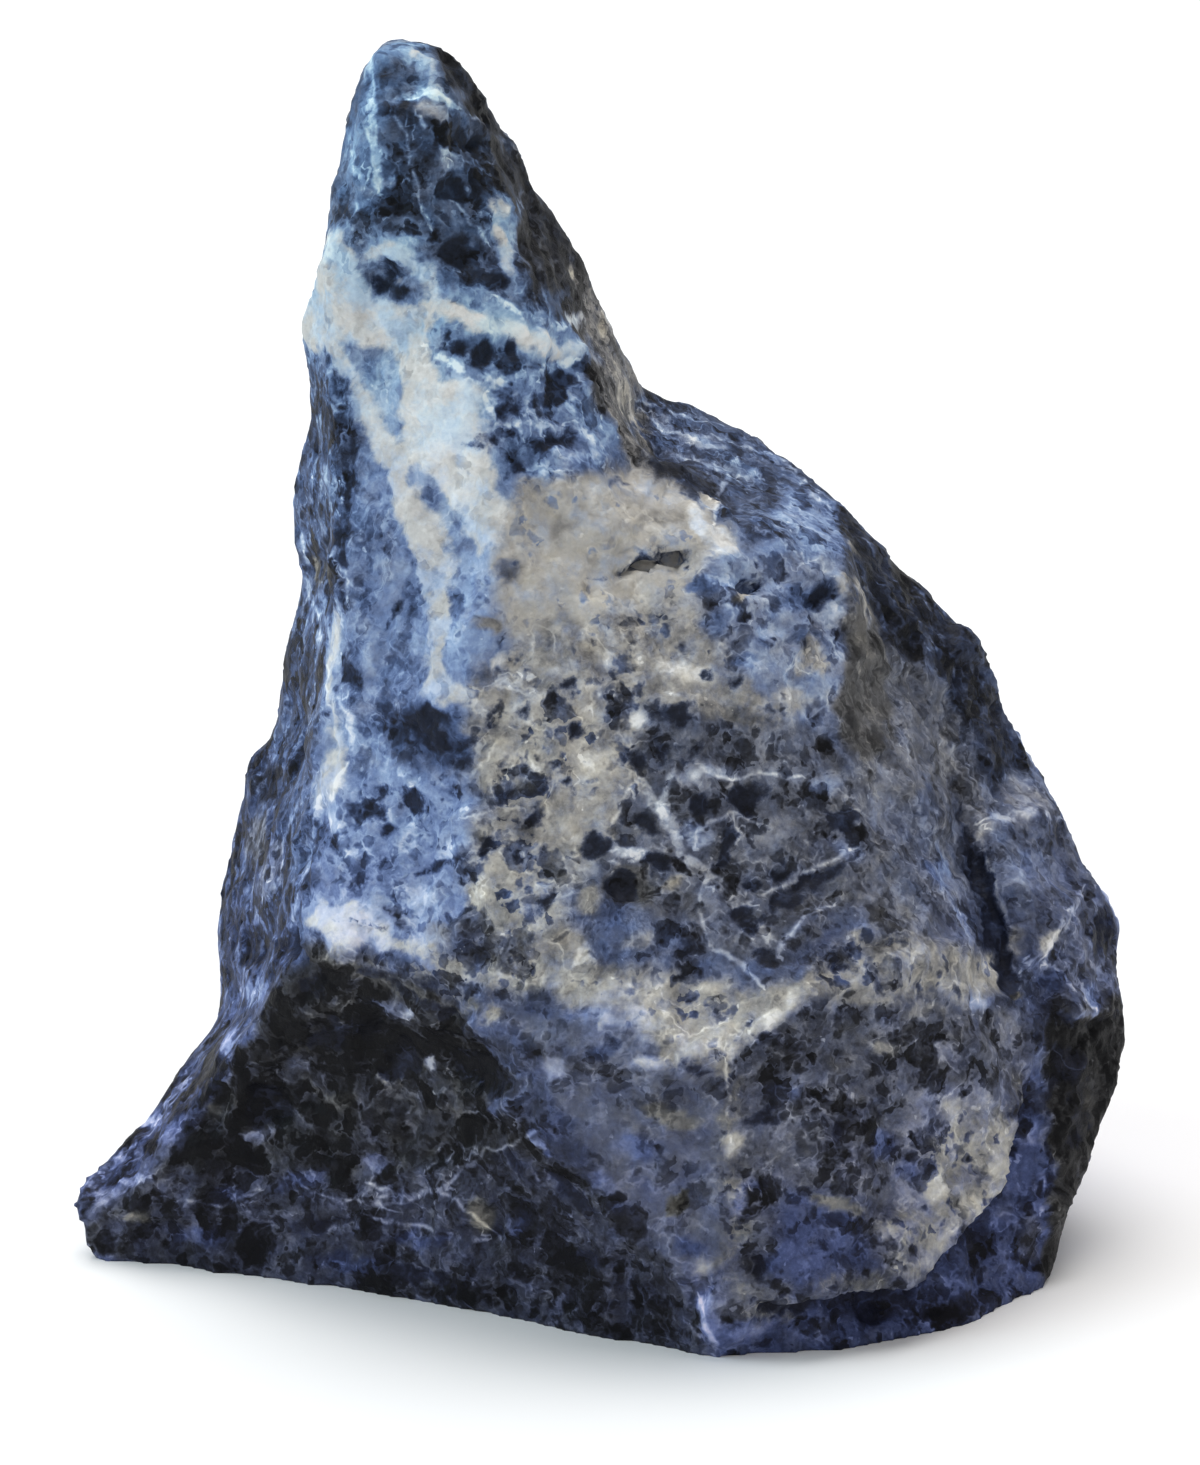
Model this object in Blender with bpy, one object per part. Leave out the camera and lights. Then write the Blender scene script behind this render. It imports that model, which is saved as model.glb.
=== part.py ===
"""A hand specimen of raw sodalite: one leaning, pyramid-like lump of rock with a tall point, a low foot
and a broken shelf, standing on a flat face. Metres, +Z up. The origin is on the flat face, under the middle
of the rock, and -Y is its front. Lengths in the tables are millimetres."""

import math

import bmesh
import bpy
import numpy as np
from mathutils import Vector, noise
from mathutils.geometry import delaunay_2d_cdt

MM = 0.001

# Driving dimensions
SIGHT_DOWN = math.radians(20)  # the front is drawn as seen from this far above the horizon
BASE_CUT = -3.0  # the drawn faces run on to this height, and the flat face cuts them off at 0
FINE_GRID = 0.9  # grid of the mesh that the surface is carved in
ROUNDING_PASSES = 3  # each pass rounds the broken edges a little more
TRIANGLES = 9000  # of the finished solid

# The outline of the rock as seen from the front, clockwise from the point: across to the right, up the view,
# and depth in Y.
OUTLINE = {
    "tip_left": (-19.5, 104.8, 6),
    "tip": (-17.8, 105.9, 7),
    "tip_right": (-14.6, 105.9, 8),
    "tip_shoulder": (-12.2, 104.6, 9),
    "spire_right_1": (-10.0, 101.2, 10),
    "spire_right_2": (-7.1, 96.2, 11),
    "spire_right_3": (-3.8, 90.7, 12),
    "spire_right_4": (-0.9, 85.3, 13),
    "spire_right_5": (1.6, 79.6, 14),
    "notch": (4.0, 75.4, 16),
    "shelf_1": (8.5, 73.9, 20),
    "shelf_2": (15.4, 70.5, 20),
    "shelf_3": (18.7, 68.0, 18),
    "shoulder": (22.2, 64.5, 14),
    "rim_1": (26.9, 59.5, 14),
    "rim_2": (31.4, 55.2, 14),
    "rim_corner": (34.7, 52.6, 14),
    "rim_3": (37.2, 47.1, 13),
    "rim_4": (39.8, 41.6, 12),
    "rim_5": (42.6, 36.2, 10),
    "rim_6": (45.3, 30.7, 8),
    "right_top": (47.9, 25.3, 5),
    "right_middle": (48.3, 19.5, 1),
    "right_low": (48.2, 14.9, -2),
    "undercut_1": (45.8, 8.9, -7),
    "undercut_2": (43.2, 2.2, -12),
    "undercut_3": (41.6, -4.2, -16),
    "base_right": (39.4, -9.9, -20.8),
    "base_right_front": (34.0, -12.3, -27.8),
    "base_front": (23.5, -14.0, -32.9),
    "base_corner": (10.3, -14.7, -34.6),
    "base_left_1": (-4.3, -12.1, -27.2),
    "base_left_2": (-17.5, -9.8, -20.4),
    "base_left_3": (-31.1, -8.1, -15.6),
    "foot_under_1": (-39.2, -7.4, -13.4),
    "foot_under_2": (-45.0, -5.0, -12.2),
    "foot_under_3": (-47.8, -2.0, -10.6),
    "foot_tip": (-48.9, 0.5, -9.6),
    "foot_top_1": (-47.2, 3.8, -7),
    "foot_top_2": (-43.8, 6.4, -4),
    "foot_top_3": (-40.4, 10.0, -1),
    "foot_top_4": (-36.6, 14.4, 3),
    "foot_root": (-34.4, 17.6, 6),
    "flank_1": (-34.0, 20.8, 8),
    "flank_2": (-34.6, 25.3, 10),
    "flank_3": (-34.2, 30.7, 12),
    "flank_4": (-32.9, 36.5, 12),
    "flank_5": (-31.2, 41.5, 11),
    "flank_6": (-28.6, 45.6, 9),
    "flank_7": (-28.1, 50.4, 8),
    "flank_8": (-26.6, 57.6, 7),
    "flank_9": (-27.4, 64.9, 6),
    "flank_10": (-25.8, 71.7, 4),
    "flank_11": (-26.8, 79.5, 2),
    "flank_12": (-25.0, 84.0, 2),
    "flank_13": (-24.0, 89.0, 3),
    "flank_14": (-22.6, 96.7, 4),
    "tip_flank": (-21.3, 102.2, 5),
}

# The corners of the broken faces that the front shows, given in the same way.
FRONT = {
    "left_ridge_0": (-19.0, 104.7, 3),
    "left_ridge_1": (-20.4, 98.5, -1),
    "left_ridge_2": (-20.7, 92.2, -3),
    "left_ridge_3": (-23.7, 86.5, -3),
    "left_ridge_4": (-24.2, 78.5, -4),
    "left_ridge_5": (-23.2, 67.5, -7),
    "left_ridge_6": (-22.2, 61.3, -9),
    "left_ridge_7": (-23.1, 54.9, -10),
    "left_ridge_8": (-23.6, 47.6, -12),
    "left_ridge_9": (-23.3, 40.8, -14),
    "left_ridge_10": (-25.3, 34.9, -15),
    "left_ridge_11": (-26.6, 29.5, -16),
    "wall_apex": (-24.9, 25.6, -19),
    "foot_ridge_1": (-29.7, 19.2, -16),
    "foot_ridge_2": (-33.3, 14.9, -14),
    "foot_ridge_3": (-37.3, 9.3, -12),
    "foot_ridge_4": (-40.6, 4.0, -12.5),
    "foot_ridge_5": (-45.5, 0.8, -11.5),
    "wall_top_1": (-18.6, 23.3, -23),
    "wall_top_2": (-12.3, 20.0, -27),
    "wall_top_3": (-6.9, 15.8, -30),
    "wall_side_1": (-4.4, 9.5, -31.5),
    "wall_side_2": (1.3, 1.9, -33),
    "wall_side_3": (6.7, -3.9, -34.5),
    "wall_side_4": (9.6, -8.3, -35.6),
    "wall_hollow_1": (-26.9, 12.2, -14.5),
    "wall_hollow_2": (-16.0, 12.2, -20.5),
    "wall_step_1": (-31.4, 6.0, -13.5),
    "wall_step_2": (-19.8, 4.4, -19),
    "wall_step_3": (-10.5, 4.6, -24),
    "wall_low_1": (-24.1, -1.0, -17.2),
    "wall_low_2": (-3.2, -3.0, -27.6),
    "keel_0": (-14.2, 103.5, 3),
    "keel_1": (-15.1, 95.8, -2.5),
    "keel_2": (-15.5, 86.7, -6),
    "keel_3": (-10.7, 74.9, -10.5),
    "keel_4": (-8.7, 66.5, -14),
    "keel_5": (-9.3, 59.5, -16.5),
    "keel_6": (-10.7, 52.2, -19),
    "keel_7": (-12.1, 46.3, -20.5),
    "keel_8": (-11.3, 40.4, -22.5),
    "keel_9": (-10.5, 32.2, -25),
    "keel_10": (-12.2, 25.8, -26.5),
    "tip_chip_1": (-13.3, 101.3, 1.5),
    "tip_chip_2": (-9.0, 97.8, 6),
    "spire_edge_1": (-8.3, 92.2, 0),
    "spire_edge_2": (-2.6, 83.1, 3),
    "spire_edge_3": (-2.0, 79.0, 0),
    "spire_edge_4": (0.1, 74.0, -1),
    "spire_edge_5": (4.5, 67.6, -2),
    "spire_edge_6": (9.9, 64.6, -3),
    "spire_edge_7": (12.6, 62.2, -5),
    "shelf_crease_1": (3.3, 72.2, 12),
    "shelf_crease_2": (5.4, 68.9, 6),
    "shelf_crease_3": (10.2, 65.6, 2),
    "spire_face_1": (-5.1, 80.4, -4.5),
    "spire_face_2": (-4.6, 70.4, -9.5),
    "brow_1": (0.4, 64.9, -10.5),
    "brow_2": (5.8, 62.2, -9),
    "brow_3": (17.6, 61.8, -2),
    "brow_4": (22.6, 59.5, -1.5),
    "brow_5": (24.2, 54.0, -4),
    "front_1": (-3.3, 55.8, -17.5),
    "front_2": (4.0, 52.2, -17),
    "front_3": (13.1, 55.8, -12.5),
    "front_4": (20.4, 52.2, -9.5),
    "front_5": (-3.3, 41.3, -23),
    "front_6": (7.6, 44.9, -19.5),
    "front_7": (16.7, 43.1, -16.5),
    "front_8": (23.1, 43.1, -12),
    "front_9": (2.2, 32.2, -25),
    "front_10": (13.1, 32.2, -22.5),
    "front_11": (23.1, 30.4, -19.5),
    "front_12": (-5.1, 24.9, -28.5),
    "front_13": (4.0, 22.2, -29.5),
    "front_14": (13.1, 23.1, -27),
    "band_1": (-3.3, 17.6, -31.5),
    "band_2": (8.5, 14.9, -33.5),
    "band_3": (17.6, 19.0, -30),
    "band_4": (25.8, 22.6, -25),
    "band_5": (33.1, 20.8, -17.5),
    "band_6": (38.3, 16.7, -12.5),
    "side_crease_1": (24.9, 55.8, 1),
    "side_crease_2": (27.2, 50.9, 0),
    "side_crease_3": (30.7, 48.2, 3),
    "side_crease_4": (33.1, 46.3, 5),
    "side_crease_5": (37.0, 43.1, 7),
    "side_1": (25.8, 44.9, -7),
    "side_2": (30.4, 37.6, -6),
    "side_3": (26.7, 33.1, -14),
    "side_4": (31.3, 28.5, -13.5),
    "gully_1": (33.6, 36.5, -1),
    "gully_2": (34.7, 30.4, -4),
    "gully_3": (36.6, 24.0, -8),
    "gully_4": (39.4, 19.7, -9.5),
    "slab_1": (35.6, 34.7, -3),
    "slab_2": (37.0, 29.5, -6.5),
    "slab_3": (38.8, 24.5, -9),
    "slab_4": (41.3, 36.7, 5.5),
    "slab_5": (44.9, 28.5, 2),
    "slab_6": (42.4, 18.4, -8),
    "slab_7": (45.8, 20.4, -2.5),
    "end_1": (41.8, 13.6, -11),
    "end_2": (41.5, 8.1, -14),
    "end_3": (41.0, 1.5, -16.5),
    "lower_1": (11.8, 8.5, -34.2),
    "lower_2": (18.5, 10.4, -31.8),
    "lower_3": (27.6, 11.3, -26.5),
    "lower_4": (34.7, 14.0, -20),
    "lower_5": (23.1, 2.2, -32),
    "lower_6": (13.1, -0.6, -35.2),
    "lower_7": (31.2, 3.8, -25.4),
    "ledge_1": (38.9, 12.5, -14.5),
    "ledge_2": (36.6, 8.3, -18.5),
    "ledge_3": (35.9, 3.2, -21.5),
    "ledge_4": (32.0, -2.0, -27),
    "ledge_5": (27.6, -5.1, -31),
    "ledge_6": (19.9, -6.0, -34.4),
    "ledge_7": (12.3, -6.8, -36),
    "under_ledge_1": (40.1, 10.3, -13.2),
    "under_ledge_2": (37.6, 6.0, -16),
    "under_ledge_3": (36.9, 1.4, -18.6),
    "under_ledge_4": (33.1, -3.2, -24.4),
    "under_ledge_5": (28.2, -6.2, -29),
    "under_ledge_6": (20.0, -7.2, -33),
}

# The corners of the back and of the underside, as X, Y and Z.
BACK = {
    "back_spire_1": (-16.5, 13, 101),
    "back_spire_2": (-14, 19, 88),
    "back_spire_3": (-8, 23, 76),
    "back_left_1": (-23.5, 13, 78),
    "back_left_2": (-25, 18, 60),
    "back_left_3": (-27.5, 23, 42),
    "back_left_4": (-31, 21, 24),
    "back_left_5": (-32, 17, 8),
    "back_middle_1": (-9, 30, 62),
    "back_middle_2": (-13, 31.5, 44),
    "back_middle_3": (-16, 32, 20),
    "back_middle_4": (3, 33.5, 46),
    "back_middle_5": (2, 34.6, 22),
    "back_shelf_1": (9, 28, 66),
    "back_shelf_2": (19, 26, 57),
    "back_right_1": (28, 24, 46),
    "back_right_2": (22, 33, 30),
    "back_right_3": (35, 23, 28),
    "back_right_4": (42, 14, 24),
    "back_right_5": (33, 25, 9),
    "back_right_6": (42.5, 8, 9),
    "foot_back": (-40, -1, 4),
    "under_1": (-41.5, -6.5, BASE_CUT),
    "under_2": (-36, 3, BASE_CUT),
    "under_3": (-30, 15, BASE_CUT),
    "under_4": (-18, 28, BASE_CUT),
    "under_5": (2, 32, BASE_CUT),
    "under_6": (20, 29, BASE_CUT),
    "under_7": (32, 20, BASE_CUT),
    "under_8": (39, 5, BASE_CUT),
    "under_9": (39, -9, BASE_CUT),
    "under_10": (0, 0, BASE_CUT),
}


def run(stem, first, last):
    """The names of a row of corners, from stem_first to stem_last."""
    return [f"{stem}_{n}" for n in range(first, last + 1)]


# Broken edges that the triangles have to follow, as chains of corners.
FRONT_EDGES = (
    run("left_ridge", 0, 11) + ["wall_apex"] + run("foot_ridge", 1, 5) + ["foot_tip"],
    ["wall_apex"] + run("wall_top", 1, 3) + run("wall_side", 1, 4) + ["base_corner"],
    ["tip_right"] + run("keel", 0, 10) + ["wall_top_2"],
    ["tip_right", "tip_chip_1", "tip_chip_2", "spire_right_2"],
    ["spire_right_4"] + run("spire_edge", 2, 7) + ["brow_3", "brow_4", "brow_5"],
    ["notch"] + run("shelf_crease", 1, 3),
    ["keel_4", "brow_1", "brow_2", "spire_edge_7"],
    ["shoulder", "brow_4"] + run("side_crease", 1, 5) + ["rim_4"],
    ["brow_5", "front_8", "side_3", "side_4", "band_5"],
    ["side_crease_4"] + run("gully", 1, 4) + ["slab_6"],
    ["slab_4", "slab_1", "slab_2", "slab_3", "slab_6", "right_middle"],
    ["wall_top_3"] + run("band", 1, 6) + ["slab_6"],
    ["slab_6"] + run("end", 1, 3) + ["base_right"],
    ["band_6"] + run("ledge", 1, 7) + ["wall_side_4"],
    run("under_ledge", 1, 6),
    ["foot_ridge_4"] + run("wall_step", 1, 3) + ["wall_side_2"],
)
BACK_EDGES = (
    ["tip"] + run("back_spire", 1, 3) + run("back_shelf", 1, 2) + ["back_right_1"],
    ["back_right_1", "back_right_3", "back_right_4", "right_top"],
    ["back_spire_2"] + run("back_left", 1, 5) + ["under_3"],
    ["back_spire_3"] + run("back_middle", 1, 3) + ["under_4"],
    ["back_shelf_1", "back_middle_4", "back_middle_5", "under_5"],
    ["back_right_3", "back_right_5", "under_7"],
    ["foot_under_2"] + run("under", 1, 9) + ["undercut_3"],
)

# Holes in the front, as seen: across, up, half length, half height, turn in degrees and depth.
PITS = {
    "long_pit": (5.9, 59.0, 3.0, 0.9, 12, 1.6),
    "long_pit_mouth": (7.6, 59.0, 1.5, 1.2, 0, 1.6),
    "short_pit": (13.2, 56.8, 2.1, 0.9, 14, 1.5),
    "socket": (-19.5, 85.4, 1.9, 1.7, 0, 0.9),
    "dark_pit": (7.0, 42.4, 1.6, 2.0, -10, 0.8),
    "low_pit": (30.2, 25.3, 1.0, 0.6, 20, 0.7),
}

# Uneven break surface: spacing of the lumps or facets, and how far they stand out.
WAVES = ((22.0, 0.7), (9.0, 0.25))
FACETS = ((12.0, 0.55), (5.5, 0.3))
SEED = 5
CALM_EDGE = 6.0  # within this of the outline, which is drawn bump by bump, only a share of it is left
CALM_SHARE = 0.35


def seen(across, up, depth):
    """The point that shows at across, up in the front view and lies at that depth in Y."""
    height = (up - depth * math.sin(SIGHT_DOWN)) / math.cos(SIGHT_DOWN)
    return Vector((across, depth, height))


def sight_plane(point):
    """Where a point shows in the front view: across and up."""
    return Vector((point.x, point.y * math.sin(SIGHT_DOWN) + point.z * math.cos(SIGHT_DOWN)))


def skin(corners, chains):
    """Triangles over the corners, laid out as the front view shows them, with outline and chains as edges."""
    names = list(corners)
    index = {name: n for n, name in enumerate(names)}
    ring = list(OUTLINE)
    loops = [list(zip(ring, ring[1:] + ring[:1]))] + [list(zip(chain, chain[1:])) for chain in chains]
    edges = [(index[a], index[b]) for loop in loops for a, b in loop]
    flat = [sight_plane(corners[name]) for name in names]
    points, _, faces, origins, _, _ = delaunay_2d_cdt(flat, edges, [], 1, 1e-5)
    outline = [sight_plane(corners[name]) for name in ring]
    place = [corners[names[found[0]]] for found in origins]
    kept = [face for face in faces if inside(sum((points[n] for n in face), Vector((0, 0))) / 3, outline)]
    return [[place[n] for n in face] for face in kept]


def inside(point, outline):
    """Whether a point of the front view lies within the outline."""
    crossings = 0
    for a, b in zip(outline, outline[1:] + outline[:1]):
        if (a.y > point.y) != (b.y > point.y):
            crossings += point.x < a.x + (point.y - a.y) * (b.x - a.x) / (b.y - a.y)
    return crossings % 2 == 1


def cage():
    """The rock as plain flat faces between its corners, one closed mesh."""
    rim = {name: seen(*place) for name, place in OUTLINE.items()}
    front = rim | {name: seen(*place) for name, place in FRONT.items()}
    back = rim | {name: Vector(place) for name, place in BACK.items()}
    shape = bmesh.new()
    for corners, chains in ((front, FRONT_EDGES), (back, BACK_EDGES)):
        for face in skin(corners, chains):
            shape.faces.new([shape.verts.new(point) for point in face])
    bmesh.ops.remove_doubles(shape, verts=shape.verts, dist=0.01)
    bmesh.ops.recalc_face_normals(shape, faces=shape.faces)
    return shape


def facet_noise(points, spacing, seed):
    """Tilted flat chips, about one for each spacing, between about -1 and 1, with short slopes between."""
    cells = np.floor(points / spacing).astype(np.int64)
    total = np.zeros(len(points))
    weights = np.zeros(len(points))
    for step in np.ndindex(3, 3, 3):
        cell = cells + np.array(step) - 1
        random = cell_random(cell, seed)
        centre = (cell + random[:, :3]) * spacing
        tilt = random[:, 3:6] * 2 - 1
        away = points - centre
        weight = np.exp(-14 * (away**2).sum(1) / spacing**2)
        total += weight * ((tilt * away).sum(1) / spacing * 2 + random[:, 6] - 0.5)
        weights += weight
    return total / np.maximum(weights, 1e-12)


def cell_random(cell, seed):
    """Seven numbers from 0 to 1 for each grid cell, the same on each run."""
    key = (cell[:, 0] * 73856093) ^ (cell[:, 1] * 19349663) ^ (cell[:, 2] * 83492791) ^ (seed * 2654435761)
    found = []
    for n in range(7):
        mixed = (key + n * 40503) & 0xFFFFFFFF
        mixed = ((mixed ^ (mixed >> 16)) * 0x45D9F3B) & 0xFFFFFFFF
        mixed = ((mixed ^ (mixed >> 16)) * 0x45D9F3B) & 0xFFFFFFFF
        found.append(((mixed ^ (mixed >> 16)) & 0xFFFFFF) / 0xFFFFFF)
    return np.stack(found, 1)


def wave_noise(points, spacing, seed):
    """Smooth lumps of one size, between about -1 and 1."""
    offset = Vector((seed * 17.0, seed * 5.0, seed * 11.0))
    return np.array([noise.noise(Vector(point) / spacing + offset) for point in points]) * 1.6


def carve_pits(points, normals):
    """How deep the pits reach at each point, for those that face the front."""
    depth = np.zeros(len(points))
    across = points[:, 0]
    up = points[:, 1] * math.sin(SIGHT_DOWN) + points[:, 2] * math.cos(SIGHT_DOWN)
    toward = -normals[:, 1] * math.cos(SIGHT_DOWN) + normals[:, 2] * math.sin(SIGHT_DOWN)
    for x, y, half_length, half_height, turn, deep in PITS.values():
        angle = math.radians(turn)
        along = ((across - x) * math.cos(angle) + (up - y) * math.sin(angle)) / half_length
        beside = ((up - y) * math.cos(angle) - (across - x) * math.sin(angle)) / half_height
        bowl = np.clip(1 - along**2 - beside**2, 0, 1) ** 0.6
        depth = np.maximum(depth, deep * bowl * (toward > 0.2))
    return depth


def calm(points, normals):
    """The share of the roughness at each point: less near the outline and near the flat face."""
    up = points[:, 1] * math.sin(SIGHT_DOWN) + points[:, 2] * math.cos(SIGHT_DOWN)
    flat = np.stack([points[:, 0], up], 1)
    ring = [np.array(place[:2]) for place in OUTLINE.values()]
    nearest = np.full(len(points), np.inf)
    for a, b in zip(ring, ring[1:] + ring[:1]):
        along = np.clip(((flat - a) @ (b - a)) / ((b - a) @ (b - a)), 0, 1)
        nearest = np.minimum(nearest, np.linalg.norm(flat - a - along[:, None] * (b - a), axis=1))
    toward = normals[:, 2] * math.sin(SIGHT_DOWN) - normals[:, 1] * math.cos(SIGHT_DOWN)
    edge = np.clip(np.maximum(nearest / CALM_EDGE, 1.2 * np.abs(toward)), 0, 1)
    share = CALM_SHARE + (1 - CALM_SHARE) * edge * edge * (3 - 2 * edge)
    return share * np.clip((points[:, 2] - BASE_CUT) / CALM_EDGE, 0.1, 1)


def arrays(mesh):
    """The mesh's points and normals as arrays."""
    points = np.zeros(len(mesh.vertices) * 3)
    normals = np.zeros(len(mesh.vertices) * 3)
    mesh.vertices.foreach_get("co", points)
    mesh.vertex_normals.foreach_get("vector", normals)
    return points.reshape(-1, 3), normals.reshape(-1, 3)


def applied(shape_object, kind, **settings):
    """Adds a modifier and replaces the mesh by its result."""
    modifier = shape_object.modifiers.new(kind.lower(), kind)
    for name, value in settings.items():
        setattr(modifier, name, value)
    evaluated = shape_object.evaluated_get(bpy.context.evaluated_depsgraph_get())
    mesh = bpy.data.meshes.new_from_object(evaluated)
    shape_object.modifiers.clear()
    old = shape_object.data
    shape_object.data = mesh
    bpy.data.meshes.remove(old)


def roughen(shape_object):
    """Gives the fine mesh the uneven break surface and the pits."""
    mesh = shape_object.data
    points, normals = arrays(mesh)
    push = np.zeros(len(points))
    for n, (spacing, height) in enumerate(WAVES):
        push += height * wave_noise(points, spacing, SEED + n)
    for n, (spacing, height) in enumerate(FACETS):
        push += height * facet_noise(points, spacing, SEED + n)
    push *= calm(points, normals)
    push -= carve_pits(points, normals)
    mesh.vertices.foreach_set("co", (points + normals * push[:, None]).ravel())
    mesh.update()


def cut_base(mesh):
    """Cuts the rock off at its flat face and puts it in metres."""
    shape = bmesh.new()
    shape.from_mesh(mesh)
    everything = shape.verts[:] + shape.edges[:] + shape.faces[:]
    cut = bmesh.ops.bisect_plane(
        shape, geom=everything, plane_co=(0, 0, 0), plane_no=(0, 0, 1), clear_inner=True, dist=1e-4
    )
    edges = [item for item in cut["geom_cut"] if isinstance(item, bmesh.types.BMEdge)]
    bmesh.ops.holes_fill(shape, edges=edges, sides=0)
    bmesh.ops.triangulate(shape, faces=shape.faces)
    bmesh.ops.recalc_face_normals(shape, faces=shape.faces)
    bmesh.ops.scale(shape, verts=shape.verts, vec=(MM, MM, MM))
    shape.to_mesh(mesh)
    shape.free()


def stone_material():
    """Dark blue stone with a dull shine."""
    material = bpy.data.materials.new("sodalite")
    material.use_nodes = True
    shader = material.node_tree.nodes["Principled BSDF"]
    shader.inputs["Base Color"].default_value = (0.10, 0.14, 0.27, 1)
    shader.inputs["Roughness"].default_value = 0.5
    shader.inputs["Metallic"].default_value = 0
    return material


def rock():
    """The whole specimen as one object."""
    mesh = bpy.data.meshes.new("sodalite")
    shape = cage()
    shape.to_mesh(mesh)
    shape.free()
    stone = bpy.data.objects.new("sodalite", mesh)
    bpy.context.scene.collection.objects.link(stone)
    applied(stone, "REMESH", mode="VOXEL", voxel_size=FINE_GRID)
    applied(stone, "SMOOTH", factor=0.5, iterations=ROUNDING_PASSES)
    roughen(stone)
    applied(stone, "TRIANGULATE")
    applied(stone, "DECIMATE", ratio=TRIANGLES / len(stone.data.polygons))
    cut_base(stone.data)
    stone.data.materials.append(stone_material())
    return stone


for old_object in list(bpy.data.objects):
    bpy.data.objects.remove(old_object)
rock()
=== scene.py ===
"""The looks of the raw sodalite: its broken surface, its mineral markings, the light and the camera."""

import math
from functools import reduce
from types import SimpleNamespace

import bmesh
import bpy
import numpy as np
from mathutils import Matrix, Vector, noise


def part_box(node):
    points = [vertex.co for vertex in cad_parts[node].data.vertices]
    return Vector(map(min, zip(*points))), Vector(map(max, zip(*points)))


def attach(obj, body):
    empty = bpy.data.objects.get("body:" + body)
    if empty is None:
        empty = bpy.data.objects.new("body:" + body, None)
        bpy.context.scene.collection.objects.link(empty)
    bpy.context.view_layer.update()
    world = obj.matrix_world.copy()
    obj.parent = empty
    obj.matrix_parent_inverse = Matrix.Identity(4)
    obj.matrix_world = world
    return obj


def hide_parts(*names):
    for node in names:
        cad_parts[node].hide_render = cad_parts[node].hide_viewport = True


MM = 0.001

# Camera: where it aims, in mm, how far it looks down, how far away it is, and its lens
AIM = np.array((0.364, 14.98, 41.16))
SIGHT_DOWN = math.radians(20)
DISTANCE = 1479.8
LENS = 400.0
SENSOR = 36.0

# The front view in picture points: 1200 by 1465, and this many to a millimetre at the point aimed at
PICTURE_MIDDLE = (600.0, 732.5)
POINTS_PER_MM = 11.0
NONE_NEAR = 60.0  # a distance in picture points that counts as far away

# Fine surface: the size of the mesh, then the spacing and height of each relief, all in mm
GRID = 0.575
WAVES = ((2.4, 0.05), (1.1, 0.04))
CHIPS = ((6.5, 0.34), (2.6, 0.15))
STEPS = ((9.0, 0.42), (4.0, 0.18))
BOWLS = ((5.5, 0.22), (2.4, 0.10))
BACK_BOWLS = ((24.0, 1.5), (11.0, 0.8))
SEED = 3

# In mm: how far dark grains sink and white masses rise, how wide a ledge's drop is, between which places on x
# the relief calms towards the foot's tip, and the height below which the base is flat
DARK_SINK = 0.22
WHITE_RISE = 0.12
LEDGE_WIDTH = 0.4
FOOT_TIP = (-47.5, -41.0)
FLAT_BASE = 0.25

# Two noises that bend the seams of the markings: spacing in mm and seeds, and how far, in picture points
COARSE_BEND = (3.4, (20, 21))
FINE_BEND = (1.4, (30, 31))
COARSE_REACH = 5
FINE_REACH = 4
VEIN_REACH = 3

# The tables are laid in picture points of the front view, and their names say where a mark lies. An
# outline is its corners, a stroke is its half width at the start and at the end and then its points, and an
# oval is its centre, half length, half height and turn, counter-clockwise in degrees.

# Outlines and strokes of the white and cream minerals, then ovals and strokes of the black ones. Some of them
# are
# painted light and shade, as each says: painted highlights on edges among the cream strokes, painted shade
# among the black ones.
WHITE_MASSES = {
    "shoulder": (
        (334, 228), (346, 244), (352, 265), (366, 295), (374, 304), (414, 303), (430, 296), (434, 330),
        (431, 352), (436, 384), (404, 400), (392, 350), (350, 337), (331, 354), (304, 338), (303, 308),
        (316, 272)),
    "column": (
        (396, 335), (431, 340), (436, 384), (479, 386), (480, 420), (487, 460), (492, 480), (508, 500),
        (499, 540), (482, 552), (470, 540), (461, 520), (447, 503), (441, 484), (414, 460), (402, 440)),
    "branch": (
        (378, 450), (402, 440), (412, 470), (422, 502), (437, 524), (456, 562), (459, 580), (450, 602),
        (443, 661), (452, 680), (474, 697), (446, 703), (433, 684), (427, 600), (422, 576), (404, 515)),
    "foot_patch": (
        (310, 918), (328, 902), (350, 899), (368, 912), (382, 928), (400, 940), (424, 936), (416, 951),
        (386, 950), (356, 944), (336, 934), (316, 932)),
}
WHITE_STROKES = {
    "socket_rim": (4, 6, (362, 260), (385, 253), (408, 261), (427, 272), (434, 292)),
    "diagonal": (7, 13, (331, 350), (349, 378), (370, 416), (392, 458)),
    "upper_streak": (9, 7, (440, 304), (470, 318), (500, 331), (540, 343), (572, 353)),
    "tip_streak": (3, 4, (414, 52), (428, 66), (436, 84), (446, 100)),
    "flank_vein": (1, 9,
        (336, 608), (330, 650), (334, 684), (341, 712), (343, 742), (336, 772), (326, 796)),
    "peak_fleck_1": (4, 5, (490, 200), (502, 212)),
    "peak_fleck_2": (4, 6, (498, 238), (508, 266)),
    "brow_white": (6, 9, (690, 516), (706, 536), (728, 548)),
    "blob_1": (5, 4, (600, 1026), (606, 1024)),
    "blob_2": (5, 4, (636, 1020), (642, 1010)),
}
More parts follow.
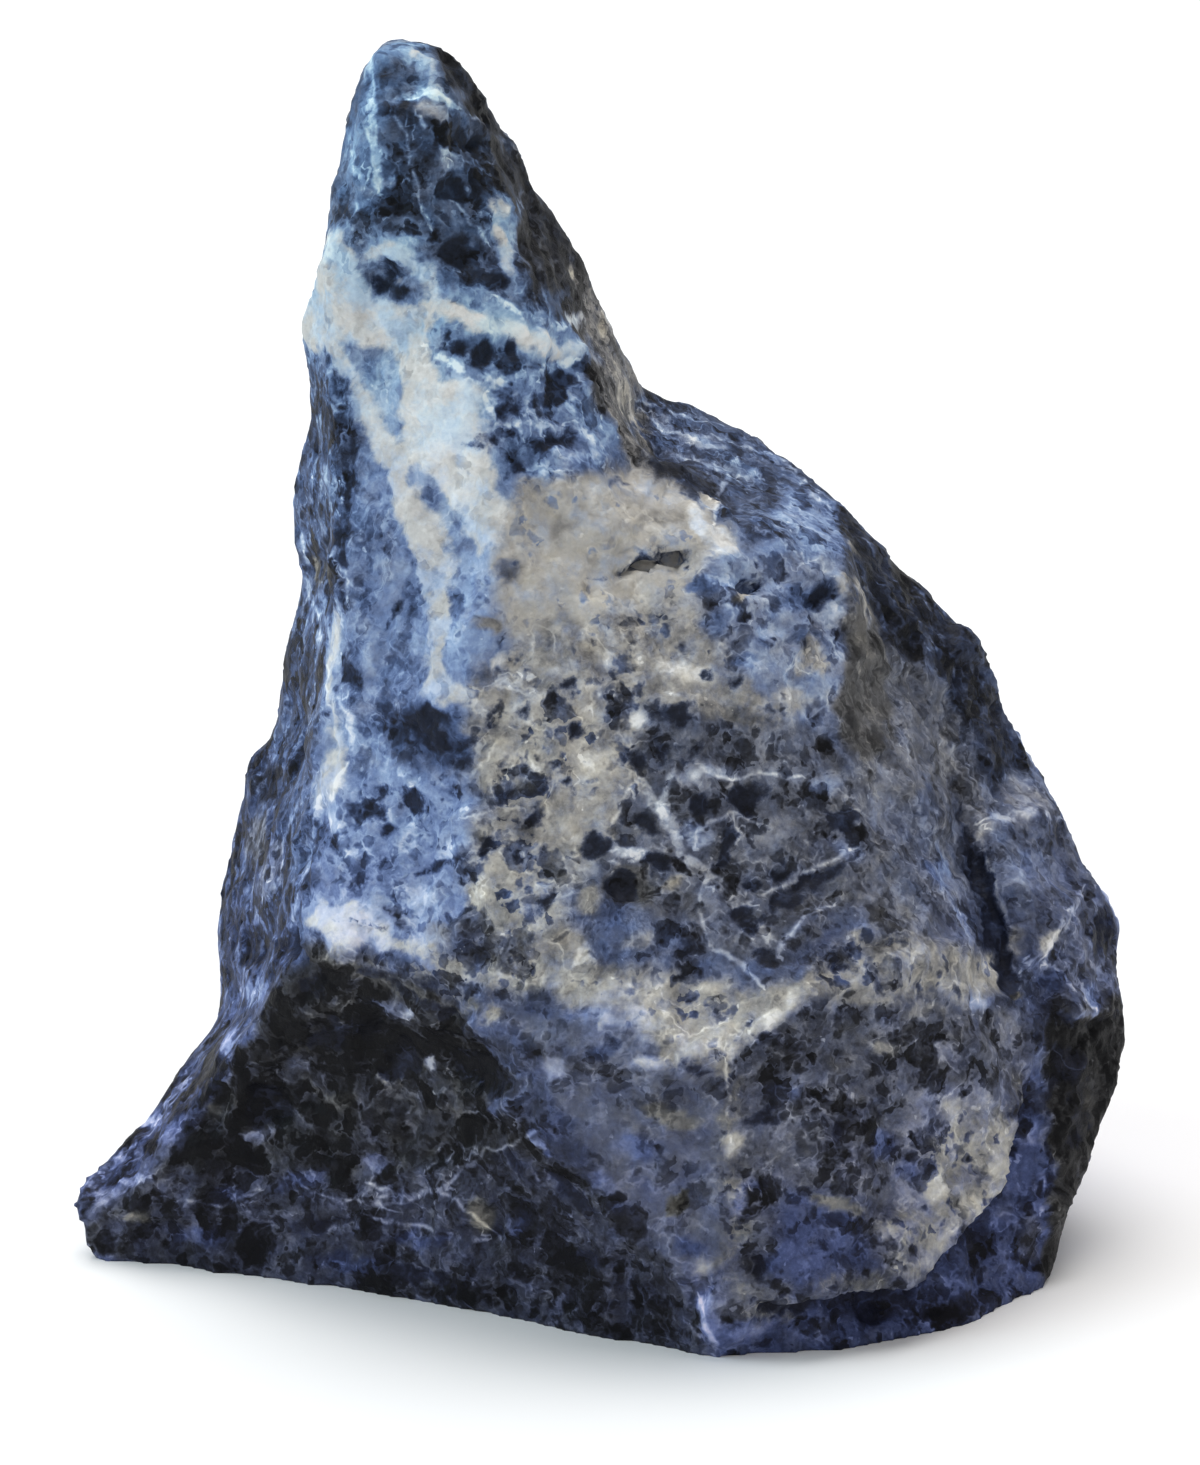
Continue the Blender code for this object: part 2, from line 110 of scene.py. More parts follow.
CREAM_MASSES = {
    "brow": (
        (500, 502), (520, 486), (560, 482), (606, 474), (640, 470), (676, 488), (704, 505), (736, 535),
        (738, 556), (700, 560), (690, 596), (640, 600), (604, 615), (560, 645), (520, 640), (504, 600),
        (497, 556)),
    "face": (
        (468, 700), (500, 660), (560, 640), (620, 610), (680, 600), (706, 630), (745, 690), (800, 716),
        (760, 724), (700, 712), (640, 706), (636, 745), (650, 780), (634, 815), (600, 850), (562, 850),
        (548, 880), (562, 930), (600, 962), (560, 985), (520, 975), (492, 940), (470, 890), (480, 840),
        (486, 800), (474, 750)),
    "band": (
        (430, 950), (470, 945), (520, 968), (600, 962), (660, 972), (710, 982), (750, 996), (800, 980),
        (830, 950), (876, 932), (940, 945), (1004, 958), (1010, 985), (950, 1000), (900, 992), (850, 988),
        (806, 1000), (764, 1032), (720, 1058), (670, 1060), (640, 1030), (600, 1000), (540, 990),
        (470, 985)),
    "lower_right_1": (
        (925, 1150), (950, 1110), (1000, 1090), (1004, 1150), (985, 1200), (950, 1235), (920, 1210)),
    "lower_right_2": ((866, 1230), (900, 1210), (950, 1225), (925, 1252), (885, 1250)),
    "lower_middle": ((736, 1295), (780, 1288), (820, 1296), (800, 1320), (745, 1322)),
}
CREAM_STROKES = {
    "band_bright": (8, 7, (652, 1056), (690, 1050), (732, 1042), (770, 1024), (796, 1000)),
    # A pale stroke along the top of the lower-right ledge: a painted highlight on its edge.
    "ledge_rim": (3, 5, (1018, 1082), (1000, 1130), (984, 1184), (942, 1236), (896, 1272), (820, 1284)),
    "lower_vein": (2, 11, (722, 1062), (730, 1090), (731, 1134), (728, 1184), (737, 1230), (712, 1268)),
    "flank_right": (5, 7, (590, 285), (604, 330), (624, 384), (646, 440), (668, 484)),
    # A pale line along the lower-left wall's crest: partly the stone's own tan line, partly a painted
    # highlight on the edge.
    "wall_edge": (3, 5, (350, 946), (400, 962), (440, 984), (470, 1000), (500, 1008)),
}
DARK_GRAINS = {
    "socket": ((377, 281, 9, 12, 0), (401, 291, 12, 7, -20), (389, 266, 12, 5, 0)),
    "peak": (
        (376, 112, 5, 13, 0), (404, 108, 9, 16, -25), (492, 280, 17, 11, -25), (466, 138, 19, 8, -25),
        (452, 186, 18, 14, -30), (400, 205, 10, 16, -10), (452, 250, 20, 16, 20),
    ),
    "row": ((450, 338, 5, 7, 0), (466, 352, 8, 10, 20), (486, 358, 13, 11, 0), (514, 356, 8, 8, 0)),
    "deep": ((554, 388, 16, 20, -30), (548, 440, 26, 11, 20)),
    "blue": ((506, 406, 13, 8, 30), (485, 441, 7, 5, 0), (520, 470, 10, 7, 0)),
    "face": ((614, 1040, 6, 6, 0),),
    # Dark ovals in and round the pits: painted shade inside the hollows.
    "pit_shade": ((640, 567, 26, 3, 16), (745, 588, 15, 4, 20), (671, 553, 13, 4, 0), (684, 565, 4, 8, 20)),
    "eye": (
        (370, 814, 12, 13, 30), (388, 796, 17, 5, 5), (414, 806, 6, 15, 15), (386, 830, 13, 7, 10),
        (359, 876, 7, 9, 0), (382, 861, 5, 10, -15),
    ),
    "lens": ((365, 927, 20, 5, -18),),
    "blob": ((428, 722, 24, 17, 20), (444, 745, 18, 12, 0)),
    "centre": (
        (580, 736, 13, 10, 10), (676, 716, 22, 8, 15), (664, 752, 10, 14, -20), (692, 742, 10, 12, 0),
        (636, 760, 7, 16, 25), (645, 826, 13, 13, 10), (596, 846, 20, 11, 5), (656, 860, 14, 9, -15),
        (745, 798, 19, 17, 0), (702, 806, 10, 10, 0), (478, 742, 9, 6, 20), (464, 764, 9, 5, 20),
        (622, 886, 22, 12, -15), (722, 860, 13, 12, 20), (780, 870, 12, 9, 30), (812, 880, 34, 8, 35),
        (752, 884, 10, 8, 0), (742, 920, 16, 12, 0), (774, 958, 14, 12, 0), (842, 818, 10, 16, 20),
        (728, 835, 9, 7, 0),
    ),
    "speck": (
        (492, 706, 7, 5, 30), (497, 722, 8, 5, 0), (528, 712, 7, 5, 0), (505, 771, 5, 4, 40),
        (547, 784, 5, 6, 0), (570, 780, 5, 5, 0), (537, 826, 14, 6, -20), (500, 809, 20, 3, 0),
        (565, 690, 7, 5, 0), (640, 643, 8, 3, 10), (688, 647, 4, 4, 0), (754, 562, 4, 4, 0),
        (770, 684, 4, 4, 0), (730, 680, 7, 5, 0), (706, 676, 6, 6, 0), (824, 590, 6, 10, 0),
        (490, 846, 9, 8, -40), (548, 900, 8, 14, -20),
    ),
    # Dark ovals in the gully beside the raised slab: painted shadow in the groove.
    "groove": ((976, 870, 6, 24, 18), (992, 930, 7, 28, 15)),
    "rim": ((868, 560, 8, 24, 35), (905, 610, 9, 30, 40), (950, 670, 12, 26, 40)),
    "band": ((842, 968, 12, 8, 0), (892, 946, 12, 7, 0)),
    # Dark ovals on the lower-left wall: partly dark grains, partly painted shade on a face turned away from
    # the light.
    "wall": (
        (312, 984, 16, 11, 0), (340, 1035, 40, 14, 10), (268, 1106, 28, 20, -20), (402, 1056, 20, 20, 10),
        (480, 1072, 32, 16, -30), (510, 1160, 24, 7, -30), (566, 1190, 34, 9, -42), (430, 1280, 44, 9, -14),
        (590, 1262, 26, 8, -10), (330, 1226, 34, 6, 8),
    ),
    "low": (
        (757, 1264, 11, 13, -20), (880, 1306, 32, 8, 8), (766, 1121, 16, 9, 20), (873, 1113, 12, 6, 0),
        (838, 1133, 10, 6, 0), (693, 1075, 8, 6, 0),
    ),
    "end": ((1066, 1060, 14, 18, 0), (1080, 1110, 12, 36, 10), (1104, 930, 8, 24, 0)),
    "tip": ((452, 72, 10, 18, -30), (486, 116, 7, 24, 32)),
    "strip": (
        (331, 538, 11, 14, 0), (344, 500, 5, 34, 0), (353, 676, 6, 26, 6), (320, 400, 5, 30, 0),
        (392, 617, 5, 18, -15),
    ),
    "flank": (
        (270, 782, 12, 18, -20), (231, 886, 4, 28, 0), (248, 948, 7, 18, -15), (293, 938, 6, 18, -20),
    ),
}
DARK_STROKES = {
    # A dark stroke along the foot of the lower-right ledge: a painted shadow under its lip.
    "ledge": (3, 5,
        (1030, 1078), (1014, 1130), (999, 1190), (959, 1254), (910, 1293), (846, 1306), (760, 1312)),
    # A dark stroke down the same gully: painted shadow in the groove.
    "groove": (4, 7, (958, 806), (980, 862), (998, 920), (1012, 990)),
    "slab_foot": (3, 4, (1116, 1016), (1080, 1024), (1046, 1006)),
    "shelf": (2, 5, (738, 524), (718, 500), (690, 480), (652, 462)),
    "wall_crack": (2, 5, (356, 968), (396, 984), (440, 1008), (486, 1040)),
    "centre": (3, 5, (862, 850), (830, 872), (800, 896), (772, 906)),
    "strip": (3, 4, (338, 372), (352, 450), (346, 560)),
    "eye_rim": (2, 3, (352, 806), (372, 790), (402, 786), (426, 796), (432, 822)),
    "blue_crack": (1, 3, (484, 850), (452, 862), (420, 872)),
    "far_edge": (2, 4, (1056, 1010), (1052, 1100), (1056, 1190)),
}

# Thin light lines: half width, then points
VEINS = {
    "web": (
        (4.5, (640, 780), (655, 806), (680, 850), (706, 872), (740, 905), (780, 950)),
        (5.0, (618, 860), (650, 852), (692, 838)), (2.0, (640, 780), (622, 800), (612, 830), (618, 860)),
        (1.6, (680, 850), (700, 826), (730, 812), (756, 822)), (1.6, (706, 872), (698, 910), (712, 950)),
        (1.6, (740, 905), (770, 892), (810, 870), (848, 850)),
        (1.8, (700, 765), (730, 780), (760, 772), (800, 778)), (2.0, (655, 806), (668, 790), (672, 770)),
        (1.4, (780, 950), (800, 920), (830, 905)), (1.2, (730, 812), (742, 850), (760, 870)),
        (2.0, (712, 950), (740, 962), (760, 985)),
    ),
    "wall": (
        (2.2, (372, 1182), (400, 1196), (440, 1190), (481, 1155)),
        (1.6, (300, 1186), (340, 1200), (400, 1202), (440, 1190)),
        (1.4, (440, 1190), (470, 1210), (500, 1240)),
        (1.6, (320, 1232), (380, 1218), (430, 1230), (480, 1240)),
        (1.6, (430, 1170), (460, 1150), (500, 1150), (540, 1130)),
        (1.2, (240, 1150), (230, 1190), (250, 1210)), (1.4, (180, 1200), (220, 1206), (260, 1190)),
    ),
    "lower": ((1.8, (722, 1062), (728, 1100), (730, 1134)),),
    "slab": (
        (2.2, (978, 832), (984, 860), (996, 888), (1010, 928), (1016, 965)),
        (4.0, (1081, 893), (1062, 928), (1040, 957), (1024, 968)),
        (3.0, (990, 822), (1020, 815), (1052, 820)),
        (1.6, (1050, 958), (1062, 985), (1090, 1010), (1110, 1008)),
    ),
    "rim": (
        (1.4, (905, 590), (930, 604), (952, 612)), (1.2, (880, 590), (905, 620), (938, 634)),
        (1.2, (925, 650), (950, 660), (968, 690)), (1.2, (868, 545), (890, 580)),
    ),
    "shelf": (
        (1.6, (642, 418), (690, 436), (730, 440), (770, 455)), (1.6, (655, 440), (700, 460), (760, 475)),
        (1.2, (640, 402), (700, 420)), (3.0, (735, 460), (720, 500), (712, 520)),
        (1.4, (770, 450), (800, 480), (830, 505)),
    ),
    # Pale lines along the crest between the foot's top and the wall: painted highlights on that edge.
    "foot": (
        (3.5, (110, 1165), (140, 1140), (165, 1112), (190, 1075)), (5.0, (128, 1182), (140, 1178)),
        (2.5, (82, 1190), (100, 1172), (118, 1160)),
    ),
    "flank": (
        (1.4, (330, 560), (336, 600), (345, 640), (352, 690)), (1.8, (312, 610), (320, 650), (330, 700)),
        (1.4, (340, 480), (342, 540), (348, 600)), (3.0, (304, 560), (312, 600), (318, 640)),
        (1.2, (318, 420), (322, 470), (330, 520), (336, 560)),
        (2.6, (326, 796), (312, 840), (300, 880), (290, 930)),
        (1.6, (345, 700), (356, 730), (352, 760), (330, 800)), (1.4, (312, 720), (290, 760), (276, 790)),
        (1.4, (300, 800), (286, 840), (276, 900)), (1.8, (262, 900), (250, 950), (238, 1000)),
    ),
    "peak": (
        (4.5, (371, 60), (370, 95), (374, 127), (377, 160), (378, 185)),
        (1.6, (396, 118), (412, 150), (404, 176)), (2.0, (420, 120), (436, 140), (446, 160)),
        (1.6, (446, 152), (470, 160), (488, 160)), (1.8, (470, 118), (500, 136), (520, 160)),
        (5.0, (404, 96), (424, 92), (446, 104)), (1.6, (412, 170), (420, 200), (430, 230)),
        (1.6, (450, 200), (470, 220), (486, 240)), (1.6, (352, 150), (358, 180), (352, 210)),
    ),
    "blue": (
        (3.0, (486, 400), (500, 430), (530, 420), (560, 430)),
        (3.5, (430, 350), (470, 375), (520, 378), (570, 360)), (2.0, (530, 380), (528, 410), (540, 430)),
        (4.0, (575, 425), (590, 440), (600, 460)), (4.0, (500, 300), (530, 320), (560, 325)),
    ),
    "end": ((2.0, (1060, 1160), (1052, 1180), (1046, 1210)),),
    "low": ((3.0, (700, 1300), (712, 1330), (716, 1350)),),
}

# Washes of tone over the front: soft edge, then, in hundredths, tone (black to white), warmth (0 blue,
# 100 grey, 200 tan), grain (how strong the crystal pattern is) and streak (how far it is drawn out
# downhill), then the outline
WASHES = {
    "peak": (10, 25, 20, 100, 0,
        (330, 215), (350, 100), (368, 48), (400, 30), (450, 35), (560, 215), (600, 300), (570, 335),
        (500, 300), (440, 288), (425, 262), (350, 240)),
    "peak_left": (12, 51, 0, 90, 30,
        (370, 50), (400, 45), (400, 90), (388, 140), (385, 200), (365, 215), (345, 200), (346, 130)),
    "peak_right": (12, 10, 70, 80, 0,
        (480, 110), (510, 130), (570, 215), (600, 290), (580, 330), (545, 300), (490, 170)),
    "tip_chip": (5, 10, 70, 50, 0,
        (428, 44), (462, 46), (490, 88), (512, 142), (486, 128), (456, 104), (440, 78)),
    "peak_foot": (8, 56, 0, 80, 0, (440, 285), (500, 292), (560, 325), (575, 350), (460, 312)),
    "white_side": (8, 70, 50, 80, 20,
        (316, 270), (350, 260), (395, 340), (392, 440), (372, 440), (340, 350), (300, 340)),
    "mottle": (8, 60, 15, 100, 30, (345, 345), (396, 350), (402, 440), (380, 445), (360, 400)),
    "spire_front": (9, 49, 0, 100, 0,
        (434, 300), (500, 292), (560, 325), (580, 360), (596, 410), (620, 450), (590, 472), (510, 492),
        (488, 475), (478, 388), (434, 384)),
    "spire_strip": (7, 34, 120, 120, 40,
        (566, 262), (592, 275), (634, 375), (660, 440), (668, 486), (636, 470), (608, 420)),
    "left_strip": (8, 26, 10, 160, 30,
        (306, 340), (334, 358), (350, 392), (358, 450), (346, 600), (338, 640), (334, 720), (296, 740),
        (282, 690), (296, 600), (292, 500)),
    "left_face": (10, 45, 8, 110, 40,
        (354, 450), (374, 446), (416, 546), (430, 640), (436, 700), (400, 770), (352, 780), (342, 700)),
    "left_face_light": (14, 56, 10, 60, 60, (380, 560), (405, 540), (412, 600), (380, 700), (362, 700)),
    "white_edge": (10, 62, 5, 70, 10,
        (455, 560), (500, 540), (510, 600), (490, 660), (455, 680), (448, 640)),
    "dark_blob": (9, 26, 0, 80, 30,
        (396, 706), (430, 694), (462, 700), (472, 740), (455, 775), (415, 772), (388, 750)),
    "blue_face": (10, 55, 0, 100, 0,
        (320, 810), (350, 772), (400, 765), (452, 770), (482, 800), (486, 850), (472, 892), (450, 925),
        (420, 945), (345, 905), (306, 925), (296, 890)),
    "left_flank": (9, 27, 5, 140, 30,
        (250, 768), (286, 712), (338, 770), (300, 890), (306, 930), (262, 990), (235, 1045), (214, 1040),
        (214, 900)),
    "flank_lit": (8, 25, 0, 110, 40,
        (338, 772), (302, 895), (316, 932), (236, 1034), (224, 1060), (230, 1010), (262, 960), (284, 900),
        (292, 850), (312, 800)),
    "foot_top": (7, 16, 15, 120, 20,
        (66, 1215), (105, 1150), (155, 1100), (190, 1050), (228, 1025), (240, 1048), (210, 1095),
        (165, 1140), (140, 1178), (95, 1212)),
    "cream_brow": (12, 68, 100, 55, 0,
        (498, 500), (560, 480), (640, 466), (700, 496), (745, 545), (700, 580), (690, 620), (520, 660),
        (492, 600)),
    "cream_face": (12, 50, 85, 115, 0,
        (468, 700), (520, 640), (620, 605), (700, 600), (750, 690), (830, 720), (700, 720), (600, 860),
        (560, 900), (600, 965), (540, 985), (480, 940), (462, 870), (486, 800)),
    "mottled_right": (10, 54, 30, 100, 0,
        (700, 570), (745, 546), (800, 556), (842, 556), (856, 620), (846, 690), (828, 735), (790, 730),
        (745, 690)),
    "centre_dark": (9, 31, 65, 100, 0,
        (640, 702), (700, 712), (760, 712), (830, 740), (862, 800), (872, 860), (850, 905), (765, 980),
        (720, 962), (690, 925), (596, 890), (590, 850), (640, 800)),
    "right_side": (10, 38, 75, 90, 40,
        (850, 560), (900, 650), (960, 700), (985, 800), (1010, 980), (880, 940), (850, 900), (870, 850),
        (838, 730), (850, 660)),
    "right_brown": (9, 30, 120, 60, 60,
        (852, 580), (878, 600), (892, 680), (880, 750), (856, 760), (842, 720)),
    "right_lit": (12, 41, 50, 90, 40, (880, 800), (930, 800), (1000, 970), (950, 955), (900, 900)),
    "shelf": (8, 30, 20, 110, 40,
        (636, 380), (730, 420), (790, 455), (845, 505), (855, 565), (740, 540), (655, 465)),
    "shelf_light": (10, 55, 0, 100, 10, (780, 490), (840, 505), (850, 560), (800, 556)),
    "shelf_dark": (6, 16, 40, 80, 40,
        (640, 455), (690, 465), (740, 490), (730, 512), (690, 500), (655, 475)),
    "back_rim": (6, 14, 30, 100, 30,
        (838, 500), (885, 550), (985, 640), (1000, 700), (1045, 806), (1012, 800), (985, 780), (965, 720),
        (930, 672), (895, 650), (846, 556)),
    "slab": (6, 34, 40, 80, 20,
        (985, 815), (1050, 805), (1100, 890), (1064, 935), (1024, 958), (1000, 905)),
    "slab_rim": (8, 46, 60, 80, 40, (1000, 770), (1035, 780), (1062, 812), (1000, 822)),
    # A darker wash over the same gully: painted shadow in the groove.
    "groove": (6, 22, 30, 80, 40,
        (950, 800), (975, 845), (998, 900), (1024, 1010), (1004, 1000), (984, 955), (966, 900)),
    "right_block": (7, 38, 40, 100, 20,
        (1040, 960), (1080, 895), (1110, 900), (1130, 990), (1120, 1020), (1070, 1010)),
    "cream_band": (12, 52, 90, 110, 0,
        (430, 948), (520, 965), (650, 968), (740, 992), (800, 980), (850, 938), (940, 942), (1006, 956),
        (1012, 990), (806, 1006), (720, 1064), (640, 1040), (540, 1000), (450, 980)),
    "lower_left": (10, 37, 50, 65, 0,
        (500, 1000), (600, 1010), (680, 1068), (722, 1062), (737, 1240), (700, 1300), (660, 1262),
        (560, 1120)),
    "lower_right": (9, 29, 65, 100, 0,
        (722, 1064), (806, 1006), (1000, 998), (1034, 1040), (1000, 1180), (950, 1250), (900, 1288),
        (800, 1300), (712, 1340), (737, 1240)),
    "lower_deep": (12, 31, 0, 80, 0, (780, 1190), (860, 1200), (868, 1270), (800, 1290), (760, 1270)),
    "lower_pale": (14, 45, 45, 100, 0,
        (900, 1090), (1010, 1080), (1000, 1180), (950, 1250), (880, 1250), (900, 1180)),
    "under_ledge": (4, 27, 5, 90, 0,
        (1026, 1082), (1052, 1060), (1064, 1180), (1056, 1270), (1036, 1310), (960, 1340), (850, 1356),
        (712, 1366), (704, 1326), (800, 1304), (904, 1290), (956, 1250), (1000, 1184)),
    "far_right": (6, 6, 110, 90, 20,
        (1050, 1000), (1090, 1010), (1130, 990), (1132, 1050), (1086, 1190), (1056, 1310), (1040, 1290),
        (1058, 1200)),
    # The lower-left wall's near-black: partly the stone's dark colour, partly painted shade on a face turned
    # away from the light.
    "wall": (5, 9.5, 80, 105, 0,
        (318, 940), (400, 968), (490, 1030), (520, 1056), (570, 1140), (640, 1232), (700, 1320),
        (712, 1362), (550, 1336), (400, 1306), (160, 1272), (100, 1255), (80, 1228), (150, 1182),
        (200, 1120), (226, 1080), (272, 990)),
    "wall_edge": (10, 26, 30, 80, 0,
        (490, 1030), (530, 1050), (560, 1110), (660, 1250), (640, 1240), (560, 1160), (510, 1120),
        (480, 1060)),
    "wall_foot": (14, 19, 50, 100, 20,
        (90, 1232), (150, 1184), (230, 1160), (330, 1180), (430, 1170), (520, 1150), (600, 1200),
        (700, 1318), (712, 1362), (400, 1306), (150, 1270)),
}

# Tone, warmth, grain and streak where no wash reaches
GENERAL = (0.34, 0.25, 0.9, 0.2)

